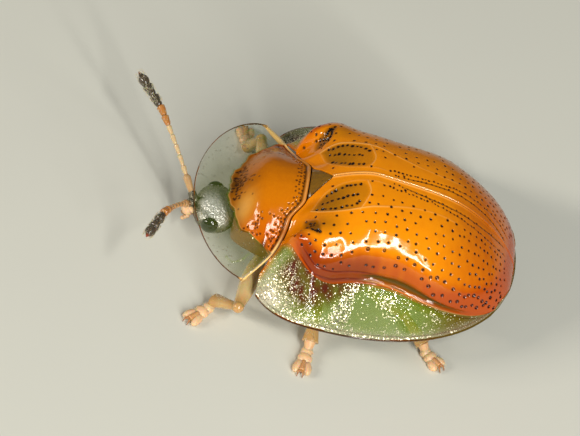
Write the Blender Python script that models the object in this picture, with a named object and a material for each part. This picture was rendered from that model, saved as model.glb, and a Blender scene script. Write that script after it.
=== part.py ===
"""A golden tortoise beetle at life size, standing still on level ground.

Sizes are in millimetres and every mesh is scaled to metres when it is built.
The drawing frame has its origin in the middle of the wing cases, on the plane of their rim.
The head points to -Y, the animal's left side to +X and its back to +Z.
The finished model is moved so that it stands on z = 0 with its box centred on the Z axis.
"""

import math

import bmesh
import bpy
import numpy as np
from mathutils import Matrix, Vector

MM = 0.001
SEAM = 0.04
WELD = 1e-7
FLOOR = -0.97

# Wing cases: the rim seen from above
RIM_HALF_WIDTH = 2.84
RIM_WIDEST_Y = -0.70
RIM_REACH_BACK = 3.74
RIM_REACH_FRONT = 2.00
RIM_POWER_BACK = 2.17
RIM_POWER_FRONT = 3.0
APEX_Y = RIM_WIDEST_Y + RIM_REACH_BACK

# Wing cases: the domed disc inside the rim
DISC_HALF_WIDTH = 1.86
DISC_ROUND_FROM = 0.20
DISC_REACH_BACK = 2.80
DISC_POWER_BACK = 3.1
FLANK_DIP = 0.085
FLANK_DIP_Y = 0.25
FLANK_DIP_LENGTH = 0.85
SHOULDER_SPREAD = 0.20
SHOULDER_Y = -1.15
SHOULDER_LENGTH = 0.55
CORNER_CUT = 0.90
CORNER_FROM = -1.20
CORNER_LENGTH = 1.00
CORNER_POWER = 1.6
MARGIN_BALANCE = 1.45

# Wing cases: heights above the plane of the rim
CREST = 1.97
CREST_Y = -0.30
CREST_FALL_BACK = 0.12
CREST_FALL_FRONT = 0.42
CREST_ROUNDING = 0.60
DOME_POWER = 2.6
DOME_ROUNDING = 0.48
DOME_ROUNDING_REAR = 0.69
DOME_REAR_FROM = 0.90
DOME_REAR_LENGTH = 1.20
BROW = 0.57
BROW_FRONT_RISE = 0.50
BROW_RISE_FROM = -0.70
BROW_RISE_LENGTH = 1.05
BROW_REAR = 0.03
BROW_FALL_FROM = 0.20
BROW_FALL_LENGTH = 2.70
MARGIN_CURVE = 1.25
SHOULDER_BUMP = 0.20
SHOULDER_BUMP_AT = (1.55, -1.50)
SHOULDER_BUMP_SPREAD = 0.50
FRONT_SINK = 0.02
FRONT_FADE = 0.42
FRONT_FADE_X = 1.55
FRONT_FADE_WIDTH = 0.50

# Shell thickness
SHELL_THICK = 0.50
RIM_THICK = 0.16
RIM_TOP = 0.02
CAVITY_SHARE = 0.82

# Front edge of the wing cases, along the back of the neck shield
COLLAR_Y = -1.66
COLLAR_STEP = 0.24
COLLAR_STEP_FROM = 0.45
COLLAR_SWEEP = 0.72
COLLAR_SWEEP_FROM = 0.90
COLLAR_SWEEP_POWER = 1.7
SHOULDER_CORNER = (2.26, -2.28)

# Scutellum, the small triangle between the wing cases
SCUTELLUM_HALF_WIDTH = 0.44
SCUTELLUM_TIP_Y = -1.20
SCUTELLUM_THICK = 0.45
TIP_SHARE = 0.14

# Neck shield (pronotum)
SHIELD_HALF_WIDTH = 2.19
SHIELD_CORNER_Y = -2.60
SHIELD_REACH = 1.36
SHIELD_POWER = 1.87
SHIELD_DISC_HALF_WIDTH = 1.63
SHIELD_DISC_Y = -2.35
SHIELD_DISC_REACH = 0.90
SHIELD_DISC_POWER = 1.33
SHIELD_SOFTNESS = 0.20
SHIELD_RIM_BACK = 0.34
SHIELD_RIM_RISE = 0.17
SHIELD_BROW = 0.22
SHIELD_TOP = 1.35
SHIELD_DOME_POWER = 2.1
SHIELD_DOME_ROUNDING = 1.75
SHIELD_BALANCE = 1.35

# Underside of the body
BODY_SHARE = 0.95
BODY_CAVITY_SHARE = 0.80
BODY_EDGE = 0.10
BODY_SIDE_TOP = -0.02
BELLY = 0.20
WAIST_Y = 0.45
THORAX_FRONT_Y = -2.02
THORAX_FRONT_HALF_WIDTH = 1.42
PROTHORAX_FRONT_Y = -2.98
PROTHORAX_HALF_WIDTH = 1.10
PROTHORAX_FRONT_HALF_WIDTH = 0.60
PROTHORAX_BELLY = -0.36
PROTHORAX_SIDE_Z = -0.12
PROTHORAX_SIDE_SHARE = 1.05

# Head
HEAD_AT = (0.0, -3.40, -0.20)
HEAD_RADII = (0.66, 0.46, 0.34)
NECK_Y = -3.02
EYE_PLANE_X = 0.56
EYE_AT = (-3.44, -0.16)
EYE_RADII = (0.15, 0.20, 0.21)
FACE_POINT = (0.0, -3.78, -0.32)
FACE_TILT = 38.0
MOUTH_DROP = (0.0, -0.09, -0.075)
MOUTH_RADII = (0.20, 0.24, 0.17)
PALP_ROOT = (0.10, -0.17, -0.13)
PALP_REACH = (0.05, -0.12, -0.13)
PALP_RADII = (0.09, 0.05)

# Legs: hip, knee, ankle and toe of each, toes on the floor
HIP_RADIUS = 0.20
HIP_ROOT_LENGTH = 0.34
HIP_ROOT_RISE = 0.26
HIP_NECK = 0.10
KNEE_SHARE = 1.02
FEMUR_RADII = (0.18, 0.22, 0.20)
TIBIA_RADII = (0.17, 0.18, 0.21)
ANKLE_Z = -0.72
LEGS = {
    "front_left": ((0.72, -2.24, -0.48), (2.46, -2.57, -0.25), (2.00, -3.02), (2.62, -3.56)),
    "front_right": ((-0.72, -2.24, -0.48), (-2.30, -2.64, -0.25), (-2.46, -2.84), (-3.20, -2.98)),
    "mid_left": ((0.72, -1.05, -0.62), (1.95, -0.92, -0.44), (2.55, -0.93), (3.38, -1.02)),
    "mid_right": ((-0.72, -1.05, -0.62), (-1.95, -0.88, -0.44), (-2.55, -0.78), (-3.38, -0.80)),
    "hind_left": ((0.68, 0.10, -0.62), (1.48, 0.92, -0.46), (1.93, 1.42), (2.38, 1.93)),
    "hind_right": ((-0.68, 0.10, -0.62), (-1.50, 0.96, -0.46), (-2.02, 1.50), (-2.50, 2.04)),
}

# Feet: place along the foot, sideways offset, and radii of each pad
PADS = (
    (0.16, 0.00, (0.17, 0.15, 0.15)),
    (0.36, 0.00, (0.17, 0.19, 0.14)),
    (0.60, 0.12, (0.24, 0.13, 0.13)),
    (0.60, -0.12, (0.24, 0.13, 0.13)),
)
PAD_SINK = 0.03
PADS_LENGTH = 0.75
WRIST_ALONG = 0.16
WRIST_Z = FLOOR + 0.15
WRIST_RADII = (0.19, 0.14)
CLAW_OVERLAP = 0.12
CLAW_ROOT_LENGTH = 0.32
CLAW_SPREAD = 0.07
CLAW_RADII = (0.08, 0.055, 0.03)
CLAW_ROOT_Z = FLOOR + 0.14
CLAW_TIP_Z = FLOOR + 0.045

# Feelers: where each starts, where its club starts and where it ends
FEELERS = {
    "left": ((0.20, -3.97, 0.05), (1.42, -4.49, 1.00), (2.27, -4.79, 1.05)),
    "right": ((-0.20, -3.97, 0.05), (-1.65, -4.90, 0.70), (-2.40, -5.52, 0.85)),
}
FEELER_ARCH = 0.06
FEELER_RADIUS = 0.20
FEELER_CLUB_RADIUS = 0.23
FEELER_ARTICLES = 8
FEELER_CLUB_ARTICLES = 3
FEELER_SOCKET = (0.14, -3.60, -0.08)
FEELER_STUB = 0.19
FEELER_NECK = 0.04
FEELER_TIP_RADIUS = 0.05

# One article of a feeler: share of its length and share of the full radius at each ring
ARTICLE_RINGS = ((0.0, 0.84), (0.3, 1.0), (0.8, 1.0))
CLUB_RINGS = ((0.0, 0.84), (0.35, 1.0), (0.8, 1.0))
LAST_RINGS = ((0.0, 0.84), (0.35, 1.0), (0.8, 0.66))

# Mesh fineness
ELYTRON_ROWS = 36
DOME_COLUMNS = 12
MARGIN_COLUMNS = 5
SHIELD_ROWS = 34
SHIELD_DOME_COLUMNS = 7
SHIELD_MARGIN_COLUMNS = 4
EDGE_SEARCH_STEPS = 24
FOOT_COLUMN_RANGE = (0.02, 0.96)
SEAM_ROW_POWER = 0.85
RIM_ROW_POWER = 0.96
FRONT_SAG_POWER = 6
SCUTELLUM_POINTS = 5
BAR_WELD = 1e-4
BODY_ROWS = 14
BODY_COLUMNS = 20

# The finished model is moved by this much, so that its box stands centred on the origin
FRONT_END_Y = FEELERS["right"][2][1]
SHIFT = Vector((0.0, -(FRONT_END_Y + APEX_Y) / 2, -FLOOR))


def clear_scene():
    for obj in list(bpy.data.objects):
        bpy.data.objects.remove(obj, do_unlink=True)


def new_collection(name, hidden=False):
    collection = bpy.data.collections.new(name)
    bpy.context.scene.collection.children.link(collection)
    collection.hide_render = hidden
    return collection


def smoothstep(value):
    value = np.clip(value, 0.0, 1.0)
    return value * value * (3 - 2 * value)


def blend(first, second, share):
    return first + (second - first) * share


# Materials

def principled(name, colour, roughness, metallic=0.0, transmission=0.0):
    material = bpy.data.materials.new(name)
    material.use_nodes = True
    shader = material.node_tree.nodes["Principled BSDF"]
    shader.inputs["Base Color"].default_value = (*colour, 1.0)
    shader.inputs["Roughness"].default_value = roughness
    shader.inputs["Metallic"].default_value = metallic
    shader.inputs["Transmission Weight"].default_value = transmission
    material.diffuse_color = (*colour, 1.0)
    return material


# Surfaces of the wing cases

def superlevel(x, y, half_width, reach, power):
    """0 in the middle of a superellipse, 1 on its outline."""
    across = np.abs(x) / half_width
    along = np.abs(y) / reach
    return (across**power + along**power + 1e-12) ** (1 / power)


def rim_level(x, y):
    back = superlevel(x, y - RIM_WIDEST_Y, RIM_HALF_WIDTH, RIM_REACH_BACK, RIM_POWER_BACK)
    front = superlevel(x, y - RIM_WIDEST_Y, RIM_HALF_WIDTH, RIM_REACH_FRONT, RIM_POWER_FRONT)
    return np.where(y > RIM_WIDEST_Y, back, front)


def bell(distance, width):
    return np.exp(-((distance / width) ** 2))


def disc_half_width(y):
    """Half width of the dome before its rear end is rounded: broad shoulders, a slight waist."""
    waist = DISC_HALF_WIDTH * FLANK_DIP * bell(y - FLANK_DIP_Y, FLANK_DIP_LENGTH)
    shoulder = SHOULDER_SPREAD * bell(y - SHOULDER_Y, SHOULDER_LENGTH)
    corner = CORNER_CUT * np.clip(CORNER_FROM - y, 0.0, CORNER_LENGTH) ** CORNER_POWER
    return DISC_HALF_WIDTH - waist + shoulder - corner


def disc_level(x, y):
    """0 on the middle line, 1 where the dome meets the flat margin."""
    behind = np.maximum(y - DISC_ROUND_FROM, 0.0)
    return superlevel(x, behind, disc_half_width(y), DISC_REACH_BACK, DISC_POWER_BACK)


def crest_height(y):
    """Height of the seam between the wing cases, highest a little before the middle."""
    ahead = np.maximum(CREST_Y - y, 0.0)
    behind = np.maximum(y - CREST_Y, 0.0)
    fall = CREST_FALL_FRONT * (np.sqrt(1 + (ahead / CREST_ROUNDING) ** 2) - 1)
    return CREST - fall - CREST_FALL_BACK * behind


def brow_height(y):
    """Height of the foot of the dome, where the margin starts: high at the shoulders."""
    rise = BROW_FRONT_RISE * smoothstep((BROW_RISE_FROM - y) / BROW_RISE_LENGTH)
    return rise + blend(BROW, BROW_REAR, smoothstep((y - BROW_FALL_FROM) / BROW_FALL_LENGTH))


def margin_share(x, y):
    """0 at the foot of the dome, 1 at the rim."""
    inner = np.maximum(disc_level(x, y) - 1, 0.0)
    outer = np.maximum(1 - rim_level(x, y), 0.0)
    return inner / (inner + MARGIN_BALANCE * outer + 1e-9)


def margin_height(x, y):
    rise = brow_height(y) - RIM_TOP
    return RIM_TOP + rise * (1 - margin_share(x, y)) ** MARGIN_CURVE


def margin_thickness(x, y):
    inner = (SHELL_THICK - RIM_THICK) * np.minimum(brow_height(y) / BROW, 1.0)
    return RIM_THICK + inner * (1 - margin_share(x, y))


def dome(x, y, share):
    """1 in the middle, 0 where the disc level reaches share: steep flanks, a gentler rear."""
    softer = smoothstep((y - DOME_REAR_FROM) / DOME_REAR_LENGTH)
    inside = np.clip(1 - (disc_level(x, y) / share) ** DOME_POWER, 0.0, 1.0)
    return inside ** blend(DOME_ROUNDING, DOME_ROUNDING_REAR, softer)


def shoulder_bump(x, y):
    across = bell(np.abs(x) - SHOULDER_BUMP_AT[0], SHOULDER_BUMP_SPREAD)
    return SHOULDER_BUMP * across * bell(y - SHOULDER_BUMP_AT[1], SHOULDER_BUMP_SPREAD)


def domed_height(x, y):
    base = margin_height(x, y)
    rise = crest_height(y) - base + shoulder_bump(x, y)
    return base + rise * dome(x, y, 1.0)


def front_rise(x, y):
    """What brings the front edge level with the neck shield, fading out behind it and outward."""
    edge_y = collar_y(x)
    gap = shield_top(x, edge_y) - FRONT_SINK - domed_height(x, edge_y)
    inside = 1 - smoothstep((np.abs(x) - FRONT_FADE_X) / FRONT_FADE_WIDTH)
    return gap * inside * bell(y - edge_y, FRONT_FADE)


def shell_top(x, y):
    return domed_height(x, y) + front_rise(x, y)


def shell_under(x, y):
    base = margin_height(x, y) - margin_thickness(x, y)
    rise = crest_height(y) - SHELL_THICK - base
    return base + rise * dome(x, y, CAVITY_SHARE) + front_rise(x, y)


def body_top(x, y):
    base = margin_height(x, y) - margin_thickness(x, y) - SEAM
    rise = crest_height(y) - SHELL_THICK - SEAM - base
    return base + rise * dome(x, y, BODY_CAVITY_SHARE) + front_rise(x, y)


def body_under(x, y):
    base = margin_height(x, y) - margin_thickness(x, y) - SEAM
    inside = np.clip(1 - (disc_level(x, y) / BODY_SHARE) ** 2, 0.0, 1.0)
    return np.minimum(base, BODY_SIDE_TOP) - BODY_EDGE - BELLY * np.sqrt(inside)


def collar_y(x):
    """Back edge of the neck shield seen from above: a lobe behind it reaches the scutellum."""
    width = np.abs(x)
    step = COLLAR_STEP * smoothstep((width - COLLAR_STEP_FROM) / COLLAR_STEP_FROM)
    out = np.maximum(width - COLLAR_SWEEP_FROM, 0.0) / (SHIELD_HALF_WIDTH - COLLAR_SWEEP_FROM)
    return COLLAR_Y - step - COLLAR_SWEEP * out**COLLAR_SWEEP_POWER


# Surfaces of the neck shield

def shield_level(x, y):
    ahead = np.maximum(SHIELD_CORNER_Y - y, 0.0)
    return superlevel(x, ahead, SHIELD_HALF_WIDTH, SHIELD_REACH, SHIELD_POWER)


def shield_disc_level(x, y):
    ahead = np.maximum(SHIELD_DISC_Y - y, 0.0)
    across = np.hypot(x, SHIELD_SOFTNESS * smoothstep(ahead / SHIELD_DISC_REACH))
    return superlevel(across, ahead, SHIELD_DISC_HALF_WIDTH, SHIELD_DISC_REACH, SHIELD_DISC_POWER)


def shield_margin_share(x, y):
    inner = np.maximum(shield_disc_level(x, y) - 1, 0.0)
    outer = np.maximum(1 - shield_level(x, y), 0.0)
    return inner / (inner + SHIELD_BALANCE * outer + 1e-9)


def shield_top(x, y):
    rim = SHIELD_RIM_BACK + SHIELD_RIM_RISE * (SHIELD_CORNER_Y - y)
    brow = rim + SHIELD_BROW * (1 - shield_margin_share(x, y))
    inside = np.clip(1 - shield_disc_level(x, y) ** SHIELD_DOME_POWER, 0.0, 1.0)
    return brow + (SHIELD_TOP - brow) * inside**SHIELD_DOME_ROUNDING


def shield_under(x, y):
    thick = blend(SHELL_THICK, RIM_THICK, shield_margin_share(x, y))
    return shield_top(x, y) - thick


# Meshes

def mesh_object(name, build, material, collection):
    """Object from a bmesh in millimetres: welded, facing out, scaled and moved to its place."""
    bmesh.ops.transform(build, matrix=Matrix.Translation(SHIFT), verts=build.verts)
    bmesh.ops.scale(build, vec=(MM, MM, MM), verts=build.verts)
    bmesh.ops.remove_doubles(build, verts=build.verts, dist=WELD)
    bmesh.ops.dissolve_degenerate(build, edges=build.edges, dist=WELD)
    bmesh.ops.recalc_face_normals(build, faces=build.faces)
    for face in build.faces:
        face.smooth = True
    mesh = bpy.data.meshes.new(name)
    build.to_mesh(mesh)
    build.free()
    mesh.materials.append(material)
    obj = bpy.data.objects.new(name, mesh)
    collection.objects.link(obj)
    return obj


def slab(x, y, top, under):
    """Closed bmesh between two height fields over one grid of plan points."""
    build = bmesh.new()
    rows, columns = x.shape
    sheets = []
    for height in (top, under):
        points = np.stack([x, y, height], axis=-1).reshape(-1, 3)
        sheets.append([build.verts.new(point) for point in points])
    upper, lower = sheets
    for row in range(rows - 1):
        for column in range(columns - 1):
            corner = row * columns + column
            ring = (corner, corner + 1, corner + columns + 1, corner + columns)
            build.faces.new([upper[index] for index in ring])
            build.faces.new([lower[index] for index in reversed(ring)])
    index = np.arange(rows * columns).reshape(rows, columns)
    edge = np.concatenate([index[0, :-1], index[:-1, -1], index[-1, :0:-1], index[:0:-1, 0]])
    for here, following in zip(edge, np.roll(edge, -1)):
        build.faces.new((upper[following], upper[here], lower[here], lower[following]))
    return build


def tube(path, radii, resolution=1):
    """Closed bmesh of a round bar along a path, with a radius at each point."""
    curve = bpy.data.curves.new("bar", "CURVE")
    curve.dimensions = "3D"
    curve.bevel_depth = 1.0
    curve.bevel_resolution = resolution
    curve.use_fill_caps = True
    spline = curve.splines.new("POLY")
    spline.points.add(len(path) - 1)
    for point, place, radius in zip(spline.points, path, radii):
        point.co = (*place, 1.0)
        point.radius = radius
    helper = bpy.data.objects.new("bar", curve)
    mesh = bpy.data.meshes.new_from_object(helper)
    build = bmesh.new()
    build.from_mesh(mesh)
    bmesh.ops.remove_doubles(build, verts=build.verts, dist=BAR_WELD)
    bpy.data.objects.remove(helper)
    bpy.data.curves.remove(curve)
    bpy.data.meshes.remove(mesh)
    return build


def ellipsoid(centre, radii, turn=0.0, segments=12, rings=8):
    build = bmesh.new()
    size = Matrix.Diagonal((*radii, 1.0))
    place = Matrix.Translation(centre) @ Matrix.Rotation(turn, 4, "Z") @ size
    bmesh.ops.create_uvsphere(
        build, u_segments=segments, v_segments=rings, radius=1.0, matrix=place
    )
    return build


def cut_flat(build, point, normal):
    """Takes off what lies beyond a plane and closes the cut with a flat face."""
    whole = build.verts[:] + build.edges[:] + build.faces[:]
    cut = bmesh.ops.bisect_plane(
        build, geom=whole, plane_co=point, plane_no=normal, clear_outer=True
    )
    edges = [item for item in cut["geom_cut"] if isinstance(item, bmesh.types.BMEdge)]
    bmesh.ops.edgeloop_fill(build, edges=edges)
    return build


def joined(name, pieces, material, collection, helpers):
    """One closed body from overlapping pieces: the first takes in all the others."""
    body = mesh_object(name, pieces[0], material, collection)
    extra = bpy.data.collections.new(name + "_pieces")
    helpers.children.link(extra)
    extra.hide_render = True
    for number, piece in enumerate(pieces[1:]):
        helper = mesh_object(f"{name}_piece_{number}", piece, material, extra)
        helper.hide_render = True
        helper.display_type = "WIRE"
    union = body.modifiers.new("Union", "BOOLEAN")
    union.operation = "UNION"
    union.operand_type = "COLLECTION"
    union.collection = extra
    union.solver = "MANIFOLD"
    return body


# Shell

def edge_shares(level, x_from, y_from, x_to, y_to, inner_columns, outer_columns):
    """Shares along each line for the mesh columns, with one column on the dome's foot."""
    low = np.zeros_like(x_to)
    high = np.ones_like(x_to)
    for _ in range(EDGE_SEARCH_STEPS):
        middle = (low + high) / 2
        inside = level(blend(x_from, x_to, middle), blend(y_from, y_to, middle)) < 1
        low = np.where(inside, middle, low)
        high = np.where(inside, high, middle)
    foot = np.clip(low, *FOOT_COLUMN_RANGE)[:, None]
    inner = 1 - (1 - np.linspace(0.0, 1.0, inner_columns + 1)) ** 2
    outer = np.linspace(0.0, 1.0, outer_columns + 1)[1:]
    return np.concatenate([foot * inner, blend(foot, 1.0, outer)], axis=1)


def elytron_plan(side):
    """Grid of plan points from the seam (column 0) out to the rim (last column)."""
    rows = np.linspace(0.0, 1.0, ELYTRON_ROWS)
    inner_corner = SCUTELLUM_HALF_WIDTH + SEAM
    along = np.clip((rows - TIP_SHARE) / (1 - TIP_SHARE), 0.0, 1.0)
    before = np.clip(rows / TIP_SHARE, 0.0, 1.0)
    seam_x = blend(inner_corner, SEAM / 2, before)
    seam_y = np.where(
        rows < TIP_SHARE,
        blend(collar_y(inner_corner) + SEAM, SCUTELLUM_TIP_Y, before),
        blend(SCUTELLUM_TIP_Y, APEX_Y - SEAM, along**SEAM_ROW_POWER),
    )
    corner_angle = math.atan2(SHOULDER_CORNER[1] - RIM_WIDEST_Y, SHOULDER_CORNER[0])
    angle = blend(corner_angle, math.pi / 2, rows**RIM_ROW_POWER)
    reach = 1 / rim_level(np.cos(angle), RIM_WIDEST_Y + np.sin(angle))
    rim_x = np.maximum(reach * np.cos(angle), SEAM / 2)
    rim_y = RIM_WIDEST_Y + reach * np.sin(angle)
    out = edge_shares(disc_level, seam_x, seam_y, rim_x, rim_y, DOME_COLUMNS, MARGIN_COLUMNS)
    x = blend(seam_x[:, None], rim_x[:, None], out)
    y = blend(seam_y[:, None], rim_y[:, None], out)
    front = np.maximum(collar_y(x[0]) + SEAM, SHOULDER_CORNER[1])
    sag = (1 - rows[:, None]) ** FRONT_SAG_POWER
    y = y + sag * (front - y[0])[None, :] * (out < 1.0)
    return side * x, y


def elytron(name, side, material, collection):
    x, y = elytron_plan(side)
    return mesh_object(name, slab(x, y, shell_top(x, y), shell_under(x, y)), material, collection)


def scutellum(material, collection):
    share = np.linspace(0.0, 1.0, SCUTELLUM_POINTS)
    front = collar_y(0.0) + SEAM
    y = blend(front, SCUTELLUM_TIP_Y - SEAM, share)[:, None] * np.ones(SCUTELLUM_POINTS)
    half = SCUTELLUM_HALF_WIDTH * (1 - share)[:, None]
    x = half * np.linspace(-1.0, 1.0, SCUTELLUM_POINTS)[None, :]
    top = shell_top(x, y)
    return mesh_object("scutellum", slab(x, y, top, top - SCUTELLUM_THICK), material, collection)


def pronotum(material, collection):
    side = np.sin(np.linspace(-0.5 * math.pi, 0.5 * math.pi, SHIELD_ROWS))
    back_x = SHIELD_HALF_WIDTH * side
    back_y = collar_y(back_x)
    angle = np.linspace(0.0, math.pi, SHIELD_ROWS)
    reach = 1 / superlevel(
        np.cos(angle), np.sin(angle), SHIELD_HALF_WIDTH, SHIELD_REACH, SHIELD_POWER
    )
    rim_x = -reach * np.cos(angle)
    rim_y = SHIELD_CORNER_Y - reach * np.sin(angle)
    out = edge_shares(
        shield_disc_level, back_x, back_y, rim_x, rim_y, SHIELD_DOME_COLUMNS, SHIELD_MARGIN_COLUMNS
    )
    x = blend(back_x[:, None], rim_x[:, None], out)
    y = blend(back_y[:, None], rim_y[:, None], out)
    build = slab(x, y, shield_top(x, y), shield_under(x, y))
    return mesh_object("pronotum", build, material, collection)


# Underside

def body_plan(start, end, half_width):
    share = np.sin(np.linspace(0.0, 0.5, BODY_ROWS) * math.pi)
    y = blend(start, end, share)[:, None] * np.ones(BODY_COLUMNS)
    width = half_width(y[:, :1])
    return width * np.sin(np.linspace(-0.5, 0.5, BODY_COLUMNS) * math.pi)[None, :], y


def thorax_half_width(y):
    share = smoothstep((y - THORAX_FRONT_Y) / (WAIST_Y - THORAX_FRONT_Y))
    return blend(THORAX_FRONT_HALF_WIDTH, BODY_SHARE * disc_half_width(WAIST_Y), share)


def abdomen_half_width(y):
    reach = BODY_SHARE * DISC_REACH_BACK
    along = np.clip((y - DISC_ROUND_FROM) / reach, 0.0, 1.0)
    round_end = (1 - along**DISC_POWER_BACK) ** (1 / DISC_POWER_BACK)
    return BODY_SHARE * disc_half_width(y) * round_end


def prothorax_half_width(y):
    share = (y - PROTHORAX_FRONT_Y) / (THORAX_FRONT_Y - PROTHORAX_FRONT_Y)
    return blend(PROTHORAX_FRONT_HALF_WIDTH, PROTHORAX_HALF_WIDTH, np.sqrt(share))


def hip_stub(leg, radius):
    """Short bar from inside the body out to the hip, along the thigh."""
    hip, knee = Vector(LEGS[leg][0]), Vector(LEGS[leg][1])
    along = (knee - hip).normalized()
    root = hip - along * HIP_ROOT_LENGTH + Vector((0.0, 0.0, HIP_ROOT_RISE))
    return tube([root, hip - along * HIP_NECK, hip], [radius] * 3)


def abdomen(material, collection):
    end = DISC_ROUND_FROM + BODY_SHARE * DISC_REACH_BACK
    x, y = body_plan(WAIST_Y + SEAM, end, abdomen_half_width)
    return mesh_object("abdomen", slab(x, y, body_top(x, y), body_under(x, y)), material, collection)


def thorax(material, collection, helpers):
    x, y = body_plan(WAIST_Y, THORAX_FRONT_Y, thorax_half_width)
    roof = body_top(x, y)
    pieces = [slab(x, y, roof, body_under(x, y))]
    for leg in ("mid_left", "mid_right", "hind_left", "hind_right"):
        pieces.append(hip_stub(leg, HIP_RADIUS))
    return joined("thorax", pieces, material, collection, helpers)


def prothorax(material, collection, helpers):
    x, y = body_plan(THORAX_FRONT_Y - SEAM, PROTHORAX_FRONT_Y, prothorax_half_width)
    roof = shield_under(x, y) - SEAM
    inside = 1 - (x / (prothorax_half_width(y) * PROTHORAX_SIDE_SHARE)) ** 2
    floor = blend(PROTHORAX_SIDE_Z, PROTHORAX_BELLY, np.sqrt(inside))
    pieces = [slab(x, y, roof, floor)]
    for leg in ("front_left", "front_right"):
        pieces.append(hip_stub(leg, HIP_RADIUS))
    return joined("prothorax", pieces, material, collection, helpers)


# Head

def face_normal():
    tilt = math.radians(FACE_TILT)
    return Vector((0.0, -math.cos(tilt), -math.sin(tilt)))


def head(material, collection, helpers):
    skull = ellipsoid(HEAD_AT, HEAD_RADII, segments=24, rings=14)
    cut_flat(skull, (0.0, NECK_Y, 0.0), (0.0, 1.0, 0.0))
    cut_flat(skull, (EYE_PLANE_X, 0.0, 0.0), (1.0, 0.0, 0.0))
    cut_flat(skull, (-EYE_PLANE_X, 0.0, 0.0), (-1.0, 0.0, 0.0))
    cut_flat(skull, FACE_POINT, face_normal())
    pieces = [skull]
    for start, club, _ in FEELERS.values():
        root = Vector(start)
        along = (Vector(club) - root).normalized()
        socket = Vector((math.copysign(FEELER_SOCKET[0], root.x), *FEELER_SOCKET[1:]))
        pieces.append(tube([socket, root - along * FEELER_NECK, root], [FEELER_STUB] * 3))
    return joined("head", pieces, material, collection, helpers)


def eye(name, side, material, collection):
    centre = (side * (EYE_PLANE_X + SEAM), *EYE_AT)
    ball = ellipsoid(centre, EYE_RADII, segments=14, rings=10)
    cut_flat(ball, centre, (-side, 0.0, 0.0))
    return mesh_object(name, ball, material, collection)


def mouthparts(material, collection, helpers):
    normal = face_normal()
    plane = Vector(FACE_POINT) + normal * SEAM
    lip = ellipsoid(plane + Vector(MOUTH_DROP), MOUTH_RADII)
    cut_flat(lip, plane, -normal)
    pieces = [lip]
    for side in (-1, 1):
        mirror = Vector((side, 1.0, 1.0))
        root = plane + mirror * Vector(PALP_ROOT)
        pieces.append(tube([root, root + mirror * Vector(PALP_REACH)], PALP_RADII))
    return joined("mouthparts", pieces, material, collection, helpers)


# Feelers

def feeler_path(start, club, tip):
    """Points and radii of a feeler: slim articles, then a longer club that ends in a point."""
    start, club, tip = Vector(start), Vector(club), Vector(tip)
    along = (club - start).normalized()
    bow = Vector((0.0, 0.0, FEELER_ARCH))
    points = []
    radii = []
    begin = start + along * SEAM
    for article in range(FEELER_ARTICLES):
        for share, size in ARTICLE_RINGS:
            here = (article + share) / FEELER_ARTICLES
            points.append(begin.lerp(club, here) + bow * math.sin(math.pi * here))
            radii.append(FEELER_RADIUS * size)
    for article in range(FEELER_CLUB_ARTICLES):
        last = article == FEELER_CLUB_ARTICLES - 1
        for share, size in LAST_RINGS if last else CLUB_RINGS:
            here = (article + share) / FEELER_CLUB_ARTICLES
            points.append(club.lerp(tip, here))
            radii.append(FEELER_CLUB_RADIUS * size)
    points.append(tip)
    radii.append(FEELER_TIP_RADIUS)
    return points, radii


def feeler(name, side, material, collection):
    points, radii = feeler_path(*FEELERS[side])
    return mesh_object(name, tube(points, radii), material, collection)


# Legs and feet

def leg(name, joints, material, collection, helpers):
    hip, knee = Vector(joints[0]), Vector(joints[1])
    ankle = Vector((*joints[2], ANKLE_Z))
    thigh = (knee - hip).normalized()
    begin = hip + thigh * SEAM
    femur = tube([begin, begin.lerp(knee, 0.45), knee], FEMUR_RADII)
    tibia = tube([knee, knee.lerp(ankle, 0.5), ankle], TIBIA_RADII)
    cap = ellipsoid(knee, [FEMUR_RADII[2] * KNEE_SHARE] * 3, segments=10, rings=6)
    return joined(name, [femur, tibia, cap], material, collection, helpers)


def foot(name, joints, material, collection, helpers):
    knee = Vector(joints[1])
    ankle = Vector((*joints[2], ANKLE_Z))
    toe = Vector((*joints[3], ANKLE_Z))
    shin = (ankle - knee).normalized()
    heading = (toe - ankle).normalized()
    side = Vector((-heading.y, heading.x, 0.0))
    turn = math.atan2(heading.y, heading.x)
    length = (toe - ankle).length
    scale = (length - CLAW_OVERLAP) / PADS_LENGTH
    begin = ankle + shin * SEAM
    wrist = Vector((*(ankle + heading * WRIST_ALONG * scale).xy, WRIST_Z))
    pieces = [tube([begin, wrist], WRIST_RADII)]
    for along, sideways, radii in PADS:
        centre = ankle + heading * along * scale + side * sideways
        centre.z = FLOOR + radii[2] - PAD_SINK
        size = (radii[0] * scale, radii[1], radii[2])
        pieces.append(ellipsoid(centre, size, turn, segments=10, rings=6))
    for sign in (-1, 1):
        root = toe - heading * CLAW_ROOT_LENGTH
        root.z = CLAW_ROOT_Z
        tip = toe + side * sign * CLAW_SPREAD
        tip.z = CLAW_TIP_Z
        pieces.append(tube([root, root.lerp(tip, 0.6), tip], CLAW_RADII))
    for piece in pieces[1 : 1 + len(PADS)]:
        cut_flat(piece, (0.0, 0.0, FLOOR), (0.0, 0.0, -1.0))
    return joined(name, pieces, material, collection, helpers)


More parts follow.
